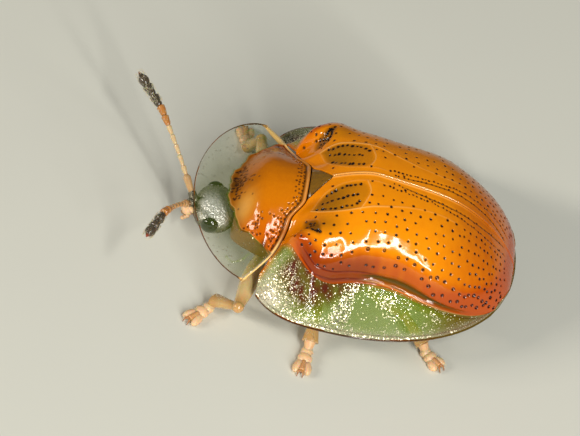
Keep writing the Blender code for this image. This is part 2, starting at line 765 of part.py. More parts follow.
def build_beetle():
    clear_scene()
    parts = new_collection("tortoise_beetle")
    helpers = new_collection("helpers", hidden=True)

    amber = principled("amber_shell", (0.78, 0.27, 0.02), 0.16)
    shield_amber = principled("amber_shield", (0.72, 0.24, 0.02), 0.28)
    olive = principled("olive_plate", (0.24, 0.14, 0.02), 0.25)
    belly = principled("brown_underside", (0.10, 0.05, 0.02), 0.35)
    metal = principled("dark_metallic_head", (0.16, 0.13, 0.07), 0.22, metallic=0.8)
    eye_black = principled("black_eye", (0.01, 0.01, 0.012), 0.12)
    mouth_pink = principled("pale_mouth", (0.62, 0.40, 0.28), 0.40)
    feeler_tan = principled("tan_feeler", (0.50, 0.28, 0.12), 0.35)
    honey = principled("honey_leg", (0.48, 0.30, 0.11), 0.25)
    peach = principled("peach_foot", (0.72, 0.42, 0.25), 0.55)

    pronotum(shield_amber, parts)
    scutellum(olive, parts)
    for side, sign in (("left", 1), ("right", -1)):
        elytron("elytron_" + side, sign, amber, parts)
        eye("eye_" + side, sign, eye_black, parts)
        feeler("antenna_" + side, side, feeler_tan, parts)
    head(metal, parts, helpers)
    mouthparts(mouth_pink, parts, helpers)
    prothorax(belly, parts, helpers)
    thorax(belly, parts, helpers)
    abdomen(belly, parts)
    for place, joints in LEGS.items():
        leg("leg_" + place, joints, honey, parts, helpers)
        foot("foot_" + place, joints, peach, parts, helpers)


build_beetle()
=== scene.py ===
"""Golden tortoise beetle at life size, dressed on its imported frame.

All shapes are worked out in millimetres in a drawing frame whose origin is the middle of the
wing cases, on the plane of their rim: head to -Y, left side to +X, back to +Z. Each finished
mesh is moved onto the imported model's frame and scaled to metres.
"""

import logging
import math
from dataclasses import dataclass, field
from enum import Enum

import bmesh
import bpy
import numpy as np
from mathutils import Matrix, Vector


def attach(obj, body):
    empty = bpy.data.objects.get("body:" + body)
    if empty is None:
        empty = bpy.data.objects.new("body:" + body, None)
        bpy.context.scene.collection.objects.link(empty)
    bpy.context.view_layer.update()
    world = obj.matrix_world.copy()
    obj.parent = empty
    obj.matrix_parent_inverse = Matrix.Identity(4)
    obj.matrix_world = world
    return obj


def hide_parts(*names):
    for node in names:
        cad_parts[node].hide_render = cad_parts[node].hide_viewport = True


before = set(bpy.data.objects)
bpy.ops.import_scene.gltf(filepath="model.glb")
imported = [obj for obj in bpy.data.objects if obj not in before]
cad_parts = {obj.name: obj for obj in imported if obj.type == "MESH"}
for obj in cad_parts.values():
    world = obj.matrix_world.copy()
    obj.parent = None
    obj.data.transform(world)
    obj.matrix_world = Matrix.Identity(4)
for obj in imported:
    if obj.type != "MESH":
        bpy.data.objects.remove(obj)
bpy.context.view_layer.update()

log = logging.getLogger("tortoise_beetle")

Array = np.ndarray
MM = 0.001
SHIFT = np.array([0.0, 1.24, 0.97])
FLOOR_Z = -0.97
SEED = 20
BODY = "root"


class Side(Enum):
    """The two sides of the animal, as the sign of X."""

    LEFT = 1
    RIGHT = -1

    @property
    def word(self) -> str:
        """The side's name in lower case."""
        return self.name.lower()


# Numbers and curves


def smoothstep(value: Array | float) -> Array:
    """0 below 0, 1 above 1, and a smooth cubic between.

    Args:
        value: numbers to ease.

    Returns:
        The eased numbers.
    """
    value = np.clip(value, 0.0, 1.0)
    return value * value * (3 - 2 * value)


def blend(first: Array | float, second: Array | float, share: Array | float) -> Array:
    """The straight mix of two values: first at share 0, second at share 1."""
    return first + (second - first) * share


def bell(distance: Array | float, width: float) -> Array:
    """A bell curve of height 1: e to the minus (distance over width) squared."""
    return np.exp(-((distance / width) ** 2))


def ripple(x: Array, y: Array, length: float, count: int, seed: int) -> Array:
    """Soft random relief: the mean of plane waves with seeded headings and phases.

    Args:
        x: first coordinate, in mm.
        y: second coordinate, in mm.
        length: typical wavelength, in mm.
        count: number of waves.
        seed: seed of the random headings.

    Returns:
        Relief of roughly unit height, shaped like x.
    """
    draw = np.random.default_rng(seed)
    heading = draw.uniform(0, math.tau, count)
    phase = draw.uniform(0, math.tau, count)
    pitch = math.tau / (length * draw.uniform(0.6, 1.6, count))
    total = np.zeros_like(x)
    for angle, start, rate in zip(heading, phase, pitch):
        total += np.sin(rate * (x * math.cos(angle) + y * math.sin(angle)) + start)
    return total / math.sqrt(count)


def unit(vectors: Array) -> Array:
    """The same vectors, each of length 1."""
    return vectors / np.maximum(np.linalg.norm(vectors, axis=-1, keepdims=True), 1e-12)


def grid_normals(grid: Array) -> Array:
    """Unit normals of a grid of points: the cross product of its two gradients.

    Args:
        grid: points, rows by columns by 3.

    Returns:
        Normals of the same shape, turned so that most point up.
    """
    along = np.gradient(grid, axis=0)
    across = np.gradient(grid, axis=1)
    normal = unit(np.cross(across, along))
    return normal if normal[..., 2].mean() > 0 else -normal


def rounded(track: tuple, passes: int = 3) -> Array:
    """A line through a few points, its corners cut off at a quarter of each side, pass by pass.

    Args:
        track: points of the line.
        passes: how often the corners are cut.

    Returns:
        The points of the rounded line.
    """
    points = np.asarray(track, float)
    for _ in range(passes):
        near = blend(points[:-1], points[1:], 0.25)
        far = blend(points[:-1], points[1:], 0.75)
        middle = np.stack([near, far], axis=1).reshape(-1, points.shape[1])
        points = np.concatenate([points[:1], middle, points[-1:]])
    return points


def track_gap(x: Array, y: Array, track: Array) -> Array:
    """Distance in plan from each point to the nearest point of a line.

    Args:
        x: first coordinate of the points.
        y: second coordinate of the points.
        track: corners of the line.

    Returns:
        The distances, shaped like x.
    """
    gap = np.full(np.shape(x), np.inf)
    for (x0, y0), (x1, y1) in zip(track[:-1], track[1:]):
        run, rise = x1 - x0, y1 - y0
        share = np.clip(((x - x0) * run + (y - y0) * rise) / (run**2 + rise**2), 0.0, 1.0)
        gap = np.minimum(gap, np.hypot(x - x0 - share * run, y - y0 - share * rise))
    return gap


def inside_by(x: Array, y: Array, outline: Array) -> Array:
    """How far inside a closed line each point lies, below 0 outside it.

    A point is inside where a ray to the right crosses the line an odd number of times.

    Args:
        x: first coordinate of the points.
        y: second coordinate of the points.
        outline: corners of the line, the first one repeated at the end.

    Returns:
        The signed distances, shaped like x.
    """
    odd = np.zeros(np.shape(x), bool)
    for (x0, y0), (x1, y1) in zip(outline[:-1], outline[1:]):
        if y0 != y1:
            cut = x0 + (x1 - x0) * (y - y0) / (y1 - y0)
            odd ^= ((y0 > y) != (y1 > y)) & (x < cut)
    gap = track_gap(x, y, outline)
    return np.where(odd, gap, -gap)


def superlevel(x: Array, y: Array, half: Array | float, reach: float, power: float) -> Array:
    """0 in the middle of a superellipse, 1 on it: the power mean of x and y over its reaches."""
    return ((np.abs(x) / half) ** power + (np.abs(y) / reach) ** power + 1e-12) ** (1 / power)


# Forms of the shell


@dataclass(frozen=True)
class ShieldForm:
    """Height and outline of the neck shield, in mm, in the drawing frame."""

    half_width: float = 2.19
    corner_y: float = -2.60
    reach: float = 1.36
    power: float = 1.87
    disc_half_width: float = 1.63
    disc_y: float = -2.35
    disc_reach: float = 0.90
    disc_power: float = 1.33
    softness: float = 0.20
    rim_back: float = 0.34
    rim_rise: float = 0.17
    brow: float = 0.22
    crown: float = 1.35
    dome_power: float = 2.1
    dome_rounding: float = 1.75
    balance: float = 1.35
    collar: float = -1.66
    roundness: float = 1.2
    step: float = 0.24
    step_from: float = 0.45
    sweep: float = 0.72
    sweep_from: float = 0.90
    sweep_power: float = 1.7

    def collar_y(self, x: Array) -> Array:
        """Hind edge seen from above: a lobe in the middle, then a sweep forward to the corner."""
        width = np.abs(x)
        step = self.step * smoothstep((width - self.step_from) / self.step_from)
        out = np.maximum(width - self.sweep_from, 0.0) / (self.half_width - self.sweep_from)
        return self.collar - step - self.sweep * out**self.sweep_power

    def rim_level(self, x: Array, y: Array) -> Array:
        """0 in the middle between the hind corners, 1 on the rim."""
        ahead = np.maximum(self.corner_y - y, 0.0)
        return superlevel(x, ahead, self.half_width, self.reach, self.power)

    def disc_level(self, x: Array, y: Array) -> Array:
        """0 in the middle of the disc, 1 on its edge, with a soft point in front."""
        ahead = np.maximum(self.disc_y - y, 0.0)
        across = np.hypot(x, self.softness * smoothstep(ahead / self.disc_reach))
        return superlevel(across, ahead, self.disc_half_width, self.disc_reach, self.disc_power)

    def round_level(self, x: Array, y: Array) -> Array:
        """The disc's level for its height: the power grows inwards, so the dome has no crease."""
        ahead = np.maximum(self.disc_y - y, 0.0)
        across = np.hypot(x, self.softness * smoothstep(ahead / self.disc_reach))
        power = self.disc_power + self.roundness * np.clip(1 - self.disc_level(x, y), 0.0, 1.0)
        return superlevel(across, ahead, self.disc_half_width, self.disc_reach, power)

    def top(self, x: Array, y: Array) -> Array:
        """Height of the upper face: a low dome over a margin that rises to the front."""
        inner = np.maximum(self.disc_level(x, y) - 1, 0.0)
        outer = np.maximum(1 - self.rim_level(x, y), 0.0)
        share = inner / (inner + self.balance * outer + 1e-9)
        brow = self.rim_back + self.rim_rise * (self.corner_y - y) + self.brow * (1 - share)
        inside = np.clip(1 - self.round_level(x, y) ** self.dome_power, 0.0, 1.0)
        return brow + (self.crown - brow) * inside**self.dome_rounding


SHIELD = ShieldForm()


@dataclass(frozen=True)
class ShellForm:
    """Height and outline of the wing cases, in mm, in the drawing frame."""

    half_width: float = 2.84
    widest_y: float = -0.70
    reach_back: float = 3.74
    reach_front: float = 2.00
    power_back: float = 2.17
    power_front: float = 3.0
    disc_half_width: float = 1.86
    disc_round_from: float = 0.20
    disc_reach: float = 2.80
    disc_power: float = 3.1
    flank_dip: float = 0.085
    flank_dip_y: float = 0.25
    flank_dip_length: float = 0.85
    waist_power: float = 12.0
    shoulder_spread: float = 0.20
    shoulder_y: float = -1.15
    shoulder_length: float = 0.55
    corner_cut: float = 0.90
    corner_from: float = -1.20
    corner_power: float = 1.6
    balance: float = 1.45
    crest: float = 1.97
    crest_y: float = -0.30
    fall_back: float = 0.12
    fall_front: float = 0.42
    crest_rounding: float = 0.60
    dome_power: float = 2.6
    dome_rounding: float = 0.48
    rear_rounding: float = 0.69
    rear_from: float = 0.90
    rear_length: float = 1.20
    brow: float = 0.57
    brow_rise: float = 0.50
    brow_rise_from: float = -0.70
    brow_rise_length: float = 1.05
    brow_rear: float = 0.03
    brow_fall_from: float = 0.20
    brow_fall_length: float = 2.70
    margin_curve: float = 1.25
    rim_top: float = 0.02
    bump_height: float = 0.20
    bump_at: tuple[float, float] = (1.55, -1.50)
    bump_spread: float = 0.50
    front_sink: float = 0.02
    front_fade: float = 0.42
    front_fade_x: float = 1.55
    front_fade_width: float = 0.50
    seam: float = 0.03
    corner: tuple[float, float] = (2.26, -2.28)
    scutellum_half_width: float = 0.44
    scutellum_tip_y: float = -1.20

    @property
    def apex_y(self) -> float:
        """Where the wing cases end on the middle line."""
        return self.widest_y + self.reach_back

    def rim_level(self, x: Array, y: Array) -> Array:
        """0 in the middle of the shell, 1 on its rim: two half superellipses."""
        ahead = y - self.widest_y
        back = superlevel(x, ahead, self.half_width, self.reach_back, self.power_back)
        front = superlevel(x, ahead, self.half_width, self.reach_front, self.power_front)
        return np.where(ahead > 0, back, front)

    def waist(self, y: Array) -> Array:
        """How far the foot of the dome is drawn in behind the shoulder, as a share."""
        return self.flank_dip * bell(y - self.flank_dip_y, self.flank_dip_length)

    def flank_x(self, y: Array) -> Array:
        """Half width of the dome before its rear end is rounded: shoulders, then a slight waist."""
        spread = self.shoulder_spread * bell(y - self.shoulder_y, self.shoulder_length)
        cut = self.corner_cut * np.clip(self.corner_from - y, 0.0, 1.0) ** self.corner_power
        return self.disc_half_width * (1 - self.waist(y)) + spread - cut

    def disc_width(self, y: Array) -> Array:
        """Half width of the dome at each y, its round rear end included."""
        along = np.clip((y - self.disc_round_from) / self.disc_reach, 0.0, 1.0)
        return self.flank_x(y) * (1 - along**self.disc_power) ** (1 / self.disc_power)

    def disc_level(self, x: Array, y: Array) -> Array:
        """0 on the middle line, 1 at the foot of the dome; the waist fades towards the top."""
        behind = np.maximum(y - self.disc_round_from, 0.0)
        half = self.flank_x(y)
        level = superlevel(x, behind, half, self.disc_reach, self.disc_power)
        fuller = self.disc_half_width * self.waist(y) * (1 - np.clip(level, 0.0, 1.0) ** self.waist_power)
        return superlevel(x, behind, half + fuller, self.disc_reach, self.disc_power)

    def crest_height(self, y: Array) -> Array:
        """Height of the seam: a hyperbola's fall in front of the crest, a straight one behind."""
        ahead = np.maximum(self.crest_y - y, 0.0)
        behind = np.maximum(y - self.crest_y, 0.0)
        fall = self.fall_front * (np.sqrt(1 + (ahead / self.crest_rounding) ** 2) - 1)
        return self.crest - fall - self.fall_back * behind

    def margin_height(self, x: Array, y: Array) -> Array:
        """Height of the margin: a power curve from the foot of the dome down to the rim."""
        inner = np.maximum(self.disc_level(x, y) - 1, 0.0)
        outer = np.maximum(1 - self.rim_level(x, y), 0.0)
        share = inner / (inner + self.balance * outer + 1e-9)
        fall = smoothstep((y - self.brow_fall_from) / self.brow_fall_length)
        foot = blend(self.brow, self.brow_rear, fall)
        foot = foot + self.brow_rise * smoothstep((self.brow_rise_from - y) / self.brow_rise_length)
        return self.rim_top + (foot - self.rim_top) * (1 - share) ** self.margin_curve

    def dome(self, x: Array, y: Array, share: float = 1.0) -> Array:
        """1 in the middle, 0 where the disc level is share: steep flanks and a gentler rear."""
        softer = smoothstep((y - self.rear_from) / self.rear_length)
        inside = np.clip(1 - (self.disc_level(x, y) / share) ** self.dome_power, 0.0, 1.0)
        return inside ** blend(self.dome_rounding, self.rear_rounding, softer)

    def domed(self, x: Array, y: Array) -> Array:
        """Height of margin, dome and the hump of the shoulder."""
        base = self.margin_height(x, y)
        across = bell(np.abs(x) - self.bump_at[0], self.bump_spread)
        hump = self.bump_height * across * bell(y - self.bump_at[1], self.bump_spread)
        return base + (self.crest_height(y) - base + hump) * self.dome(x, y)

    def front_rise(self, x: Array, y: Array) -> Array:
        """What brings the front edge level with the neck shield: a bell that fades behind it."""
        edge_y = SHIELD.collar_y(x)
        gap = SHIELD.top(x, edge_y) - self.front_sink - self.domed(x, edge_y)
        inside = 1 - smoothstep((np.abs(x) - self.front_fade_x) / self.front_fade_width)
        return gap * inside * bell(y - edge_y, self.front_fade)

    def top(self, x: Array, y: Array) -> Array:
        """Height of the upper face."""
        return self.domed(x, y) + self.front_rise(x, y)


SHELL = ShellForm()


# Meshes


@dataclass
class Skin:
    """Grids of points in mm that together make one object.

    Attributes:
        name: the object's name.
        marks: names of the numbers that each point carries for its finish.
    """

    name: str
    marks: tuple[str, ...] = ()
    points: list[Array] = field(default_factory=list)
    faces: list[Array] = field(default_factory=list)
    slots: list[Array] = field(default_factory=list)
    values: dict[str, list[Array]] = field(default_factory=dict)
    count: int = 0

    def place(self, points: Array, **marks: Array | float) -> Array:
        """Adds points with their marks.

        Args:
            points: any array of points, last axis 3.
            marks: a number or an array for each mark; a mark left out is 0.

        Returns:
            The indices of the points, in the shape of the array.
        """
        shape = points.shape[:-1]
        number = int(np.prod(shape))
        self.points.append(points.reshape(-1, 3))
        for mark in self.marks:
            value = np.broadcast_to(marks.get(mark, 0.0), shape)
            self.values.setdefault(mark, []).append(value.reshape(-1))
        index = self.count + np.arange(number).reshape(shape)
        self.count += number
        return index

    def face(self, corners: Array, slot: int | Array = 0) -> None:
        """Adds faces from rows of corner indices, with one material slot or one for each."""
        self.faces.append(corners.reshape(-1, corners.shape[-1]))
        self.slots.append(np.broadcast_to(slot, corners.shape[:-1]).reshape(-1))

    def sheet(self, grid: Array, slot: int | Array = 0, wrap: bool = False, **marks) -> Array:
        """Adds a grid of points with four-cornered faces between them.

        Args:
            grid: rows by columns by 3.
            slot: material slot, one number or one for each cell.
            wrap: joins the last column to the first.
            marks: as for place.

        Returns:
            The indices of the points.
        """
        index = self.place(grid, **marks)
        ring = np.concatenate([index, index[:, :1]], axis=1) if wrap else index
        corners = (ring[:-1, :-1], ring[:-1, 1:], ring[1:, 1:], ring[1:, :-1])
        self.face(np.stack(corners, axis=-1), slot)
        return index

    def slab(self, top: Array, under: Array, slot: int | Array = 0, edge: int = 0, stride: int = 1, **marks) -> None:
        """Adds a closed plate between two grids of the same shape, the lower one thinned out.

        Args:
            top: upper points.
            under: lower points.
            slot: material slot of the cells.
            edge: material slot of the wall between the two grids.
            stride: every so many rows and columns of the lower grid are kept.
            marks: as for place, for both grids.
        """
        upper = self.sheet(top, slot, **marks)
        spread = {name: np.broadcast_to(value, top.shape[:2]) for name, value in marks.items()}
        fewer = {name: value[::stride, ::stride] for name, value in spread.items()}
        below = slot[::stride, ::stride] if isinstance(slot, np.ndarray) else slot
        lower = self.sheet(under[::stride, ::stride], below, **fewer)
        fine, coarse = (
            np.concatenate([i[0, :-1], i[:-1, -1], i[-1, :0:-1], i[:0:-1, 0]])
            for i in (upper, lower)
        )
        group = np.arange(len(coarse))[:, None] * stride + np.arange(stride + 1)
        wall = [fine[group % len(fine)], np.roll(coarse, -1)[:, None], coarse[:, None]]
        self.face(np.concatenate(wall, axis=1), edge)

    def tube(self, path: Array, radii: Array, sides: int = 24, slot: int = 0, up=(0, 0, 1), **marks):
        """Adds a closed bar: ellipses carried along a path, with a point at each end.

        Each ring is the path point plus cosine times the side radius times the side direction
        plus sine times the upper radius times the upper direction.

        Args:
            path: points along the middle.
            radii: one radius, or a side and an upper radius, for each point.
            sides: points round each ring.
            slot: material slot.
            up: direction that the upper radius stands for.
            marks: numbers for each path point, or for every point.
        """
        path = np.asarray(path, float)
        radii = np.asarray(radii, float)
        radii = radii if radii.ndim == 2 else np.stack([radii, radii], axis=-1)
        along = unit(np.gradient(path, axis=0))
        side = unit(np.cross(along, np.asarray(up, float)))
        over = np.cross(side, along)
        angle = np.linspace(0, math.tau, sides, endpoint=False)[None, :, None]
        ring = path[:, None] + np.cos(angle) * side[:, None] * radii[:, None, :1]
        ring = ring + np.sin(angle) * over[:, None] * radii[:, None, 1:]
        spread = {}
        ends = {}
        for mark, value in marks.items():
            value = np.broadcast_to(value, (len(path),))
            spread[mark] = np.repeat(value[:, None], sides, axis=1)
            ends[mark] = value[[0, -1]]
        index = self.sheet(ring, slot, wrap=True, **spread)
        poles = self.place(path[[0, -1]], **ends)
        for ring_index, pole in ((index[0], poles[0]), (index[-1], poles[1])):
            tip = np.full(sides, pole)
            self.face(np.stack([ring_index, np.roll(ring_index, -1), tip], axis=-1), slot)

    def blob(self, centre, radii, heading=(0, 1, 0), rings: int = 18, sides: int = 24, slot: int = 0, **marks):
        """Adds an ellipsoid whose first radius lies along heading, then sideways, then up."""
        turn = np.linspace(-0.5, 0.5, rings + 2)[1:-1] * math.pi
        heading = unit(np.asarray(heading, float))
        path = np.asarray(centre, float) + np.sin(turn)[:, None] * radii[0] * heading
        size = np.cos(turn)[:, None] * np.asarray(radii[1:], float)
        self.tube(path, size, sides, slot, **marks)

    def hairs(self, roots: Array, tips: Array, radius: float, sag: float = 0.0, slot: int = 0, **marks):
        """Adds fine closed cones, each of three rings of three points and a tip.

        Args:
            roots: where each hair grows.
            tips: where each hair ends.
            radius: radius at the root.
            sag: how far the middle is pushed down, in mm.
            slot: material slot.
            marks: as for place.
        """
        along = unit(tips - roots)
        side = unit(np.cross(along, np.array([0.31, 0.17, 0.93])))
        over = np.cross(side, along)
        angle = np.arange(3) * math.tau / 3
        turn = np.cos(angle)[:, None, None] * side + np.sin(angle)[:, None, None] * over
        rings = []
        for share, size in ((0.0, 1.0), (0.5, 0.7), (0.85, 0.35)):
            middle = blend(roots, tips, share) - np.array([0, 0, sag * math.sin(share * math.pi)])
            rings.append(middle + turn * radius * size)
        index = self.place(np.stack(rings), **marks)
        end = self.place(tips, **marks)
        following = np.roll(index, -1, axis=1)
        walls = (index[:-1], following[:-1], following[1:], index[1:])
        self.face(np.stack(walls, axis=-1), slot)
        top = np.broadcast_to(end, index[-1].shape)
        self.face(np.stack([index[-1], following[-1], top], axis=-1), slot)
        self.face(np.moveaxis(index[0], 0, -1), slot)

    def make(self, finishes: list[bpy.types.Material], nodes: tuple[str, ...], slot: str) -> bpy.types.Object:
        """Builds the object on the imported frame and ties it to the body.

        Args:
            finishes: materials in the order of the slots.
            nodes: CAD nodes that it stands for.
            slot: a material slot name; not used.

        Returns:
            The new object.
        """
        mesh = bpy.data.meshes.new(self.name)
        points = (np.concatenate(self.points) + SHIFT) * MM
        faces = [row for block in self.faces for row in block.tolist()]
        mesh.from_pydata(points.tolist(), [], faces)
        mesh.polygons.foreach_set("material_index", np.concatenate(self.slots).astype(np.int32))
        for mark in self.marks:
            layer = mesh.attributes.new(mark, "FLOAT", "POINT")
            layer.data.foreach_set("value", np.concatenate(self.values[mark]).astype(np.float32))
        for finish in finishes:
            mesh.materials.append(finish)
        shell = bmesh.new()
        shell.from_mesh(mesh)
        bmesh.ops.recalc_face_normals(shell, faces=shell.faces)
        shell.to_mesh(mesh)
        shell.free()
        mesh.shade_smooth()
        thing = bpy.data.objects.new(self.name, mesh)
        bpy.context.scene.collection.objects.link(thing)
        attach(thing, BODY)
        if nodes:
            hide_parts(*nodes)
        log.info("%s: %d points, %d faces", self.name, len(points), len(faces))
        return thing


# Finishes


def linear(hex_colour: str) -> tuple[float, float, float, float]:
    """A colour written as six sRGB hex digits, as linear red, green, blue and alpha 1."""
    parts = [int(hex_colour[i : i + 2], 16) / 255 for i in (1, 3, 5)]
    shares = [v / 12.92 if v <= 0.04045 else ((v + 0.055) / 1.055) ** 2.4 for v in parts]
    return (*shares, 1.0)


def node(tree: bpy.types.NodeTree, kind: str, settings: dict | None = None, **links) -> bpy.types.Node:
    """Adds one shader node, sets its properties and sockets, and links its inputs.

    Args:
        tree: the material's node tree.
        kind: the node type, such as ShaderNodeTexNoise.
        settings: properties of the node by name.
        links: inputs by name, with underscores for spaces, or by place as in_0. A value is an
            output socket to link, or a plain value to set.

    Returns:
        The new node.
    """
    made = tree.nodes.new(kind)
    for key, value in (settings or {}).items():
        setattr(made, key, value)
    for key, value in links.items():
        place = int(key[3:]) if key.startswith("in_") else key.replace("_", " ")
        socket = made.inputs[place]
        if isinstance(value, bpy.types.NodeSocket):
            tree.links.new(value, socket)
        else:
            socket.default_value = value
    return made


@dataclass(frozen=True)
class Finish:
    """Base of the finishes: a Principled surface, a base colour and a fine relief.

    Attributes:
        name: the material's name, after what the real surface is.
        colour: base colour as sRGB hex.
        roughness: mean roughness.
        ior: refractive index.
        grain_mm: size of the fine relief, in mm.
        relief_mm: depth of the fine relief, in mm.
        tint: colour that the grain mixes in, as sRGB hex.
        tint_share: the most of the tint that shows.
    """

    name: str
    colour: str
    roughness: float = 0.3
    ior: float = 1.56
    grain_mm: float = 0.05
    relief_mm: float = 0.002
    tint: str = "#000000"
    tint_share: float = 0.0
    coat: float = 0.0
    metallic: float = 0.0
    glow: float = 0.0
    glow_mm: float = 0.15
    masks: tuple[tuple[str, str, float], ...] = ()

    def colours(self, tree: bpy.types.NodeTree, noise: bpy.types.NodeSocket) -> bpy.types.NodeSocket:
        """Base colour: the grain's tint, then each mask's colour where its mark is high.

        Args:
            tree: the material's node tree.
            noise: the grain's output.

        Returns:
            The colour socket.
        """
        share = node(tree, "ShaderNodeMath", {"operation": "MULTIPLY"}, in_0=noise, in_1=self.tint_share)
        mixed = node(
            tree,
            "ShaderNodeMix",
            {"data_type": "RGBA"},
            in_0=share.outputs[0],
            in_6=linear(self.colour),
            in_7=linear(self.tint),
        ).outputs[2]
        for mark, colour, strength in self.masks:
            read = node(tree, "ShaderNodeAttribute", {"attribute_name": mark})
            level = node(
                tree,
                "ShaderNodeMath",
                {"operation": "MULTIPLY", "use_clamp": True},
                in_0=read.outputs["Fac"],
                in_1=strength,
            )
            mixed = node(
                tree,
                "ShaderNodeMix",
                {"data_type": "RGBA"},
                in_0=level.outputs[0],
                in_6=mixed,
                in_7=linear(colour),
            ).outputs[2]
        return mixed

    def material(self) -> bpy.types.Material:
        """Builds the material: colour, roughness that follows the grain, and bump.

        Returns:
            The new material.
        """
        made = bpy.data.materials.new(self.name)
        made.use_nodes = True
        tree = made.node_tree
        tree.nodes.clear()
        place = node(tree, "ShaderNodeTexCoord")
        grain = node(
            tree,
            "ShaderNodeTexNoise",
            Vector=place.outputs["Object"],
            Scale=1 / (self.grain_mm * MM),
            Detail=3.0,
            Roughness=0.55,
        )
        noise = grain.outputs["Fac"]
        rough = node(
            tree,
            "ShaderNodeMapRange",
            Value=noise,
            To_Min=self.roughness * 0.7,
            To_Max=self.roughness * 1.3,
        )
        bump = node(
            tree, "ShaderNodeBump", Strength=1.0, Distance=self.relief_mm * MM, Height=noise
        )
        shader = node(
            tree,
            "ShaderNodeBsdfPrincipled",
            Base_Color=self.colours(tree, noise),
            Roughness=rough.outputs[0],
            IOR=self.ior,
            Metallic=self.metallic,
            Normal=bump.outputs[0],
            Coat_Weight=self.coat,
            Coat_Roughness=0.04,
            Coat_IOR=1.5,
            Subsurface_Weight=self.glow,
            Subsurface_Radius=(1.0, 0.35, 0.08),
            Subsurface_Scale=self.glow_mm * MM,
        )
        self.finish_shader(tree, shader, place.outputs["Object"])
        out = node(tree, "ShaderNodeOutputMaterial")
        tree.links.new(shader.outputs[0], out.inputs["Surface"])
        return made

    def finish_shader(self, tree: bpy.types.NodeTree, shader: bpy.types.Node, place: bpy.types.NodeSocket) -> None:
        """A place for finishes that add more to the shader."""


@dataclass(frozen=True)
class ClearHorn(Finish):
    """Clear horn: see-through, with facets that glitter and flecks that mirror like gold leaf.

    The mark veil says how much of the horn's own colour covers what lies behind it.

    Attributes:
        fleck: colour of the flecks as sRGB hex.
        facet_mm: size of the facets, in mm.
        tilt: how steeply the facets lean, as a slope, where the mark fleck is 1.
        calm: share of that slope where the mark is 0.
        fleck_share: share of the facets that are flecks where the mark is 1.
        fleck_roughness: roughness of the flecks.
    """

    fleck: str = "#fbf1cf"
    facet_mm: float = 0.027
    tilt: float = 0.8
    calm: float = 0.10
    fleck_share: float = 0.70
    fleck_roughness: float = 0.36

    def finish_shader(self, tree: bpy.types.NodeTree, shader: bpy.types.Node, place: bpy.types.NodeSocket) -> None:
        """Adds facets, each cell of a Voronoi pattern a plane that leans its own way, and flecks.

        Args:
            tree: the material's node tree.
            shader: the Principled shader.
            place: object coordinates.
        """
        cells = node(tree, "ShaderNodeTexVoronoi", Vector=place, Scale=1 / (self.facet_mm * MM))
        lean = self.vector(tree, "SUBTRACT", cells.outputs["Color"], (0.5, 0.5, 0.5)).outputs[0]
        offset = self.vector(tree, "SUBTRACT", place, cells.outputs["Position"]).outputs[0]
        plane = self.vector(tree, "DOT_PRODUCT", lean, offset).outputs["Value"]
        read = node(tree, "ShaderNodeAttribute", {"attribute_name": "fleck"}).outputs["Fac"]
        slope = node(
            tree,
            "ShaderNodeMapRange",
            Value=read,
            To_Min=self.tilt * self.calm,
            To_Max=self.tilt,
        )
        relief = node(
            tree,
            "ShaderNodeBump",
            Strength=1.0,
            Distance=1.0,
            Height=self.maths(tree, "MULTIPLY", plane, slope.outputs[0]),
            Normal=shader.inputs["Normal"].links[0].from_socket,
        )
        tree.links.new(relief.outputs[0], shader.inputs["Normal"])
        lot = node(tree, "ShaderNodeSeparateColor", Color=cells.outputs["Color"]).outputs[0]
        picked = self.maths(tree, "LESS_THAN", lot, self.maths(tree, "MULTIPLY", read, self.fleck_share))
        small = self.maths(tree, "LESS_THAN", cells.outputs["Distance"], 0.52)
        fleck = self.maths(tree, "MULTIPLY", picked, small)
        mixed = node(
            tree,
            "ShaderNodeMix",
            {"data_type": "RGBA"},
            in_0=fleck,
            in_6=shader.inputs["Base Color"].links[0].from_socket,
            in_7=linear(self.fleck),
        )
        rough = node(
            tree,
            "ShaderNodeMix",
            {"data_type": "FLOAT"},
            in_0=fleck,
            in_2=shader.inputs["Roughness"].links[0].from_socket,
            in_3=self.fleck_roughness,
        )
        veil = node(tree, "ShaderNodeAttribute", {"attribute_name": "veil"}).outputs["Fac"]
        facing = node(tree, "ShaderNodeLayerWeight", Blend=0.5).outputs["Facing"]
        edge = self.maths(tree, "MULTIPLY", self.maths(tree, "POWER", facing, 4.0), 0.6)
        body = self.maths(tree, "MAXIMUM", veil, edge)
        tree.links.new(mixed.outputs[2], shader.inputs["Base Color"])
        tree.links.new(rough.outputs[0], shader.inputs["Roughness"])
        tree.links.new(fleck, shader.inputs["Metallic"])
        tree.links.new(self.maths(tree, "MAXIMUM", body, fleck), shader.inputs["Alpha"])

    def maths(self, tree: bpy.types.NodeTree, operation: str, first, second) -> bpy.types.NodeSocket:
        """The result of a sum on two sockets or numbers."""
        return node(tree, "ShaderNodeMath", {"operation": operation}, in_0=first, in_1=second).outputs[0]

    def vector(self, tree: bpy.types.NodeTree, operation: str, first, second) -> bpy.types.Node:
        """A node for a sum on two vectors."""
        return node(tree, "ShaderNodeVectorMath", {"operation": operation}, in_0=first, in_1=second)


AMBER_MASKS = (
    # deep: deeper orange; down the flanks of the wing cases it is partly painted shade.
    ("deep", "#bf5004", 1.0),
    ("red", "#6a1c05", 1.0),
    ("brown", "#3a2806", 1.0),
    ("olive", "#5f4c06", 1.0),
    ("pale", "#ffd98c", 1.0),
    ("pit", "#04060f", 1.0),
)

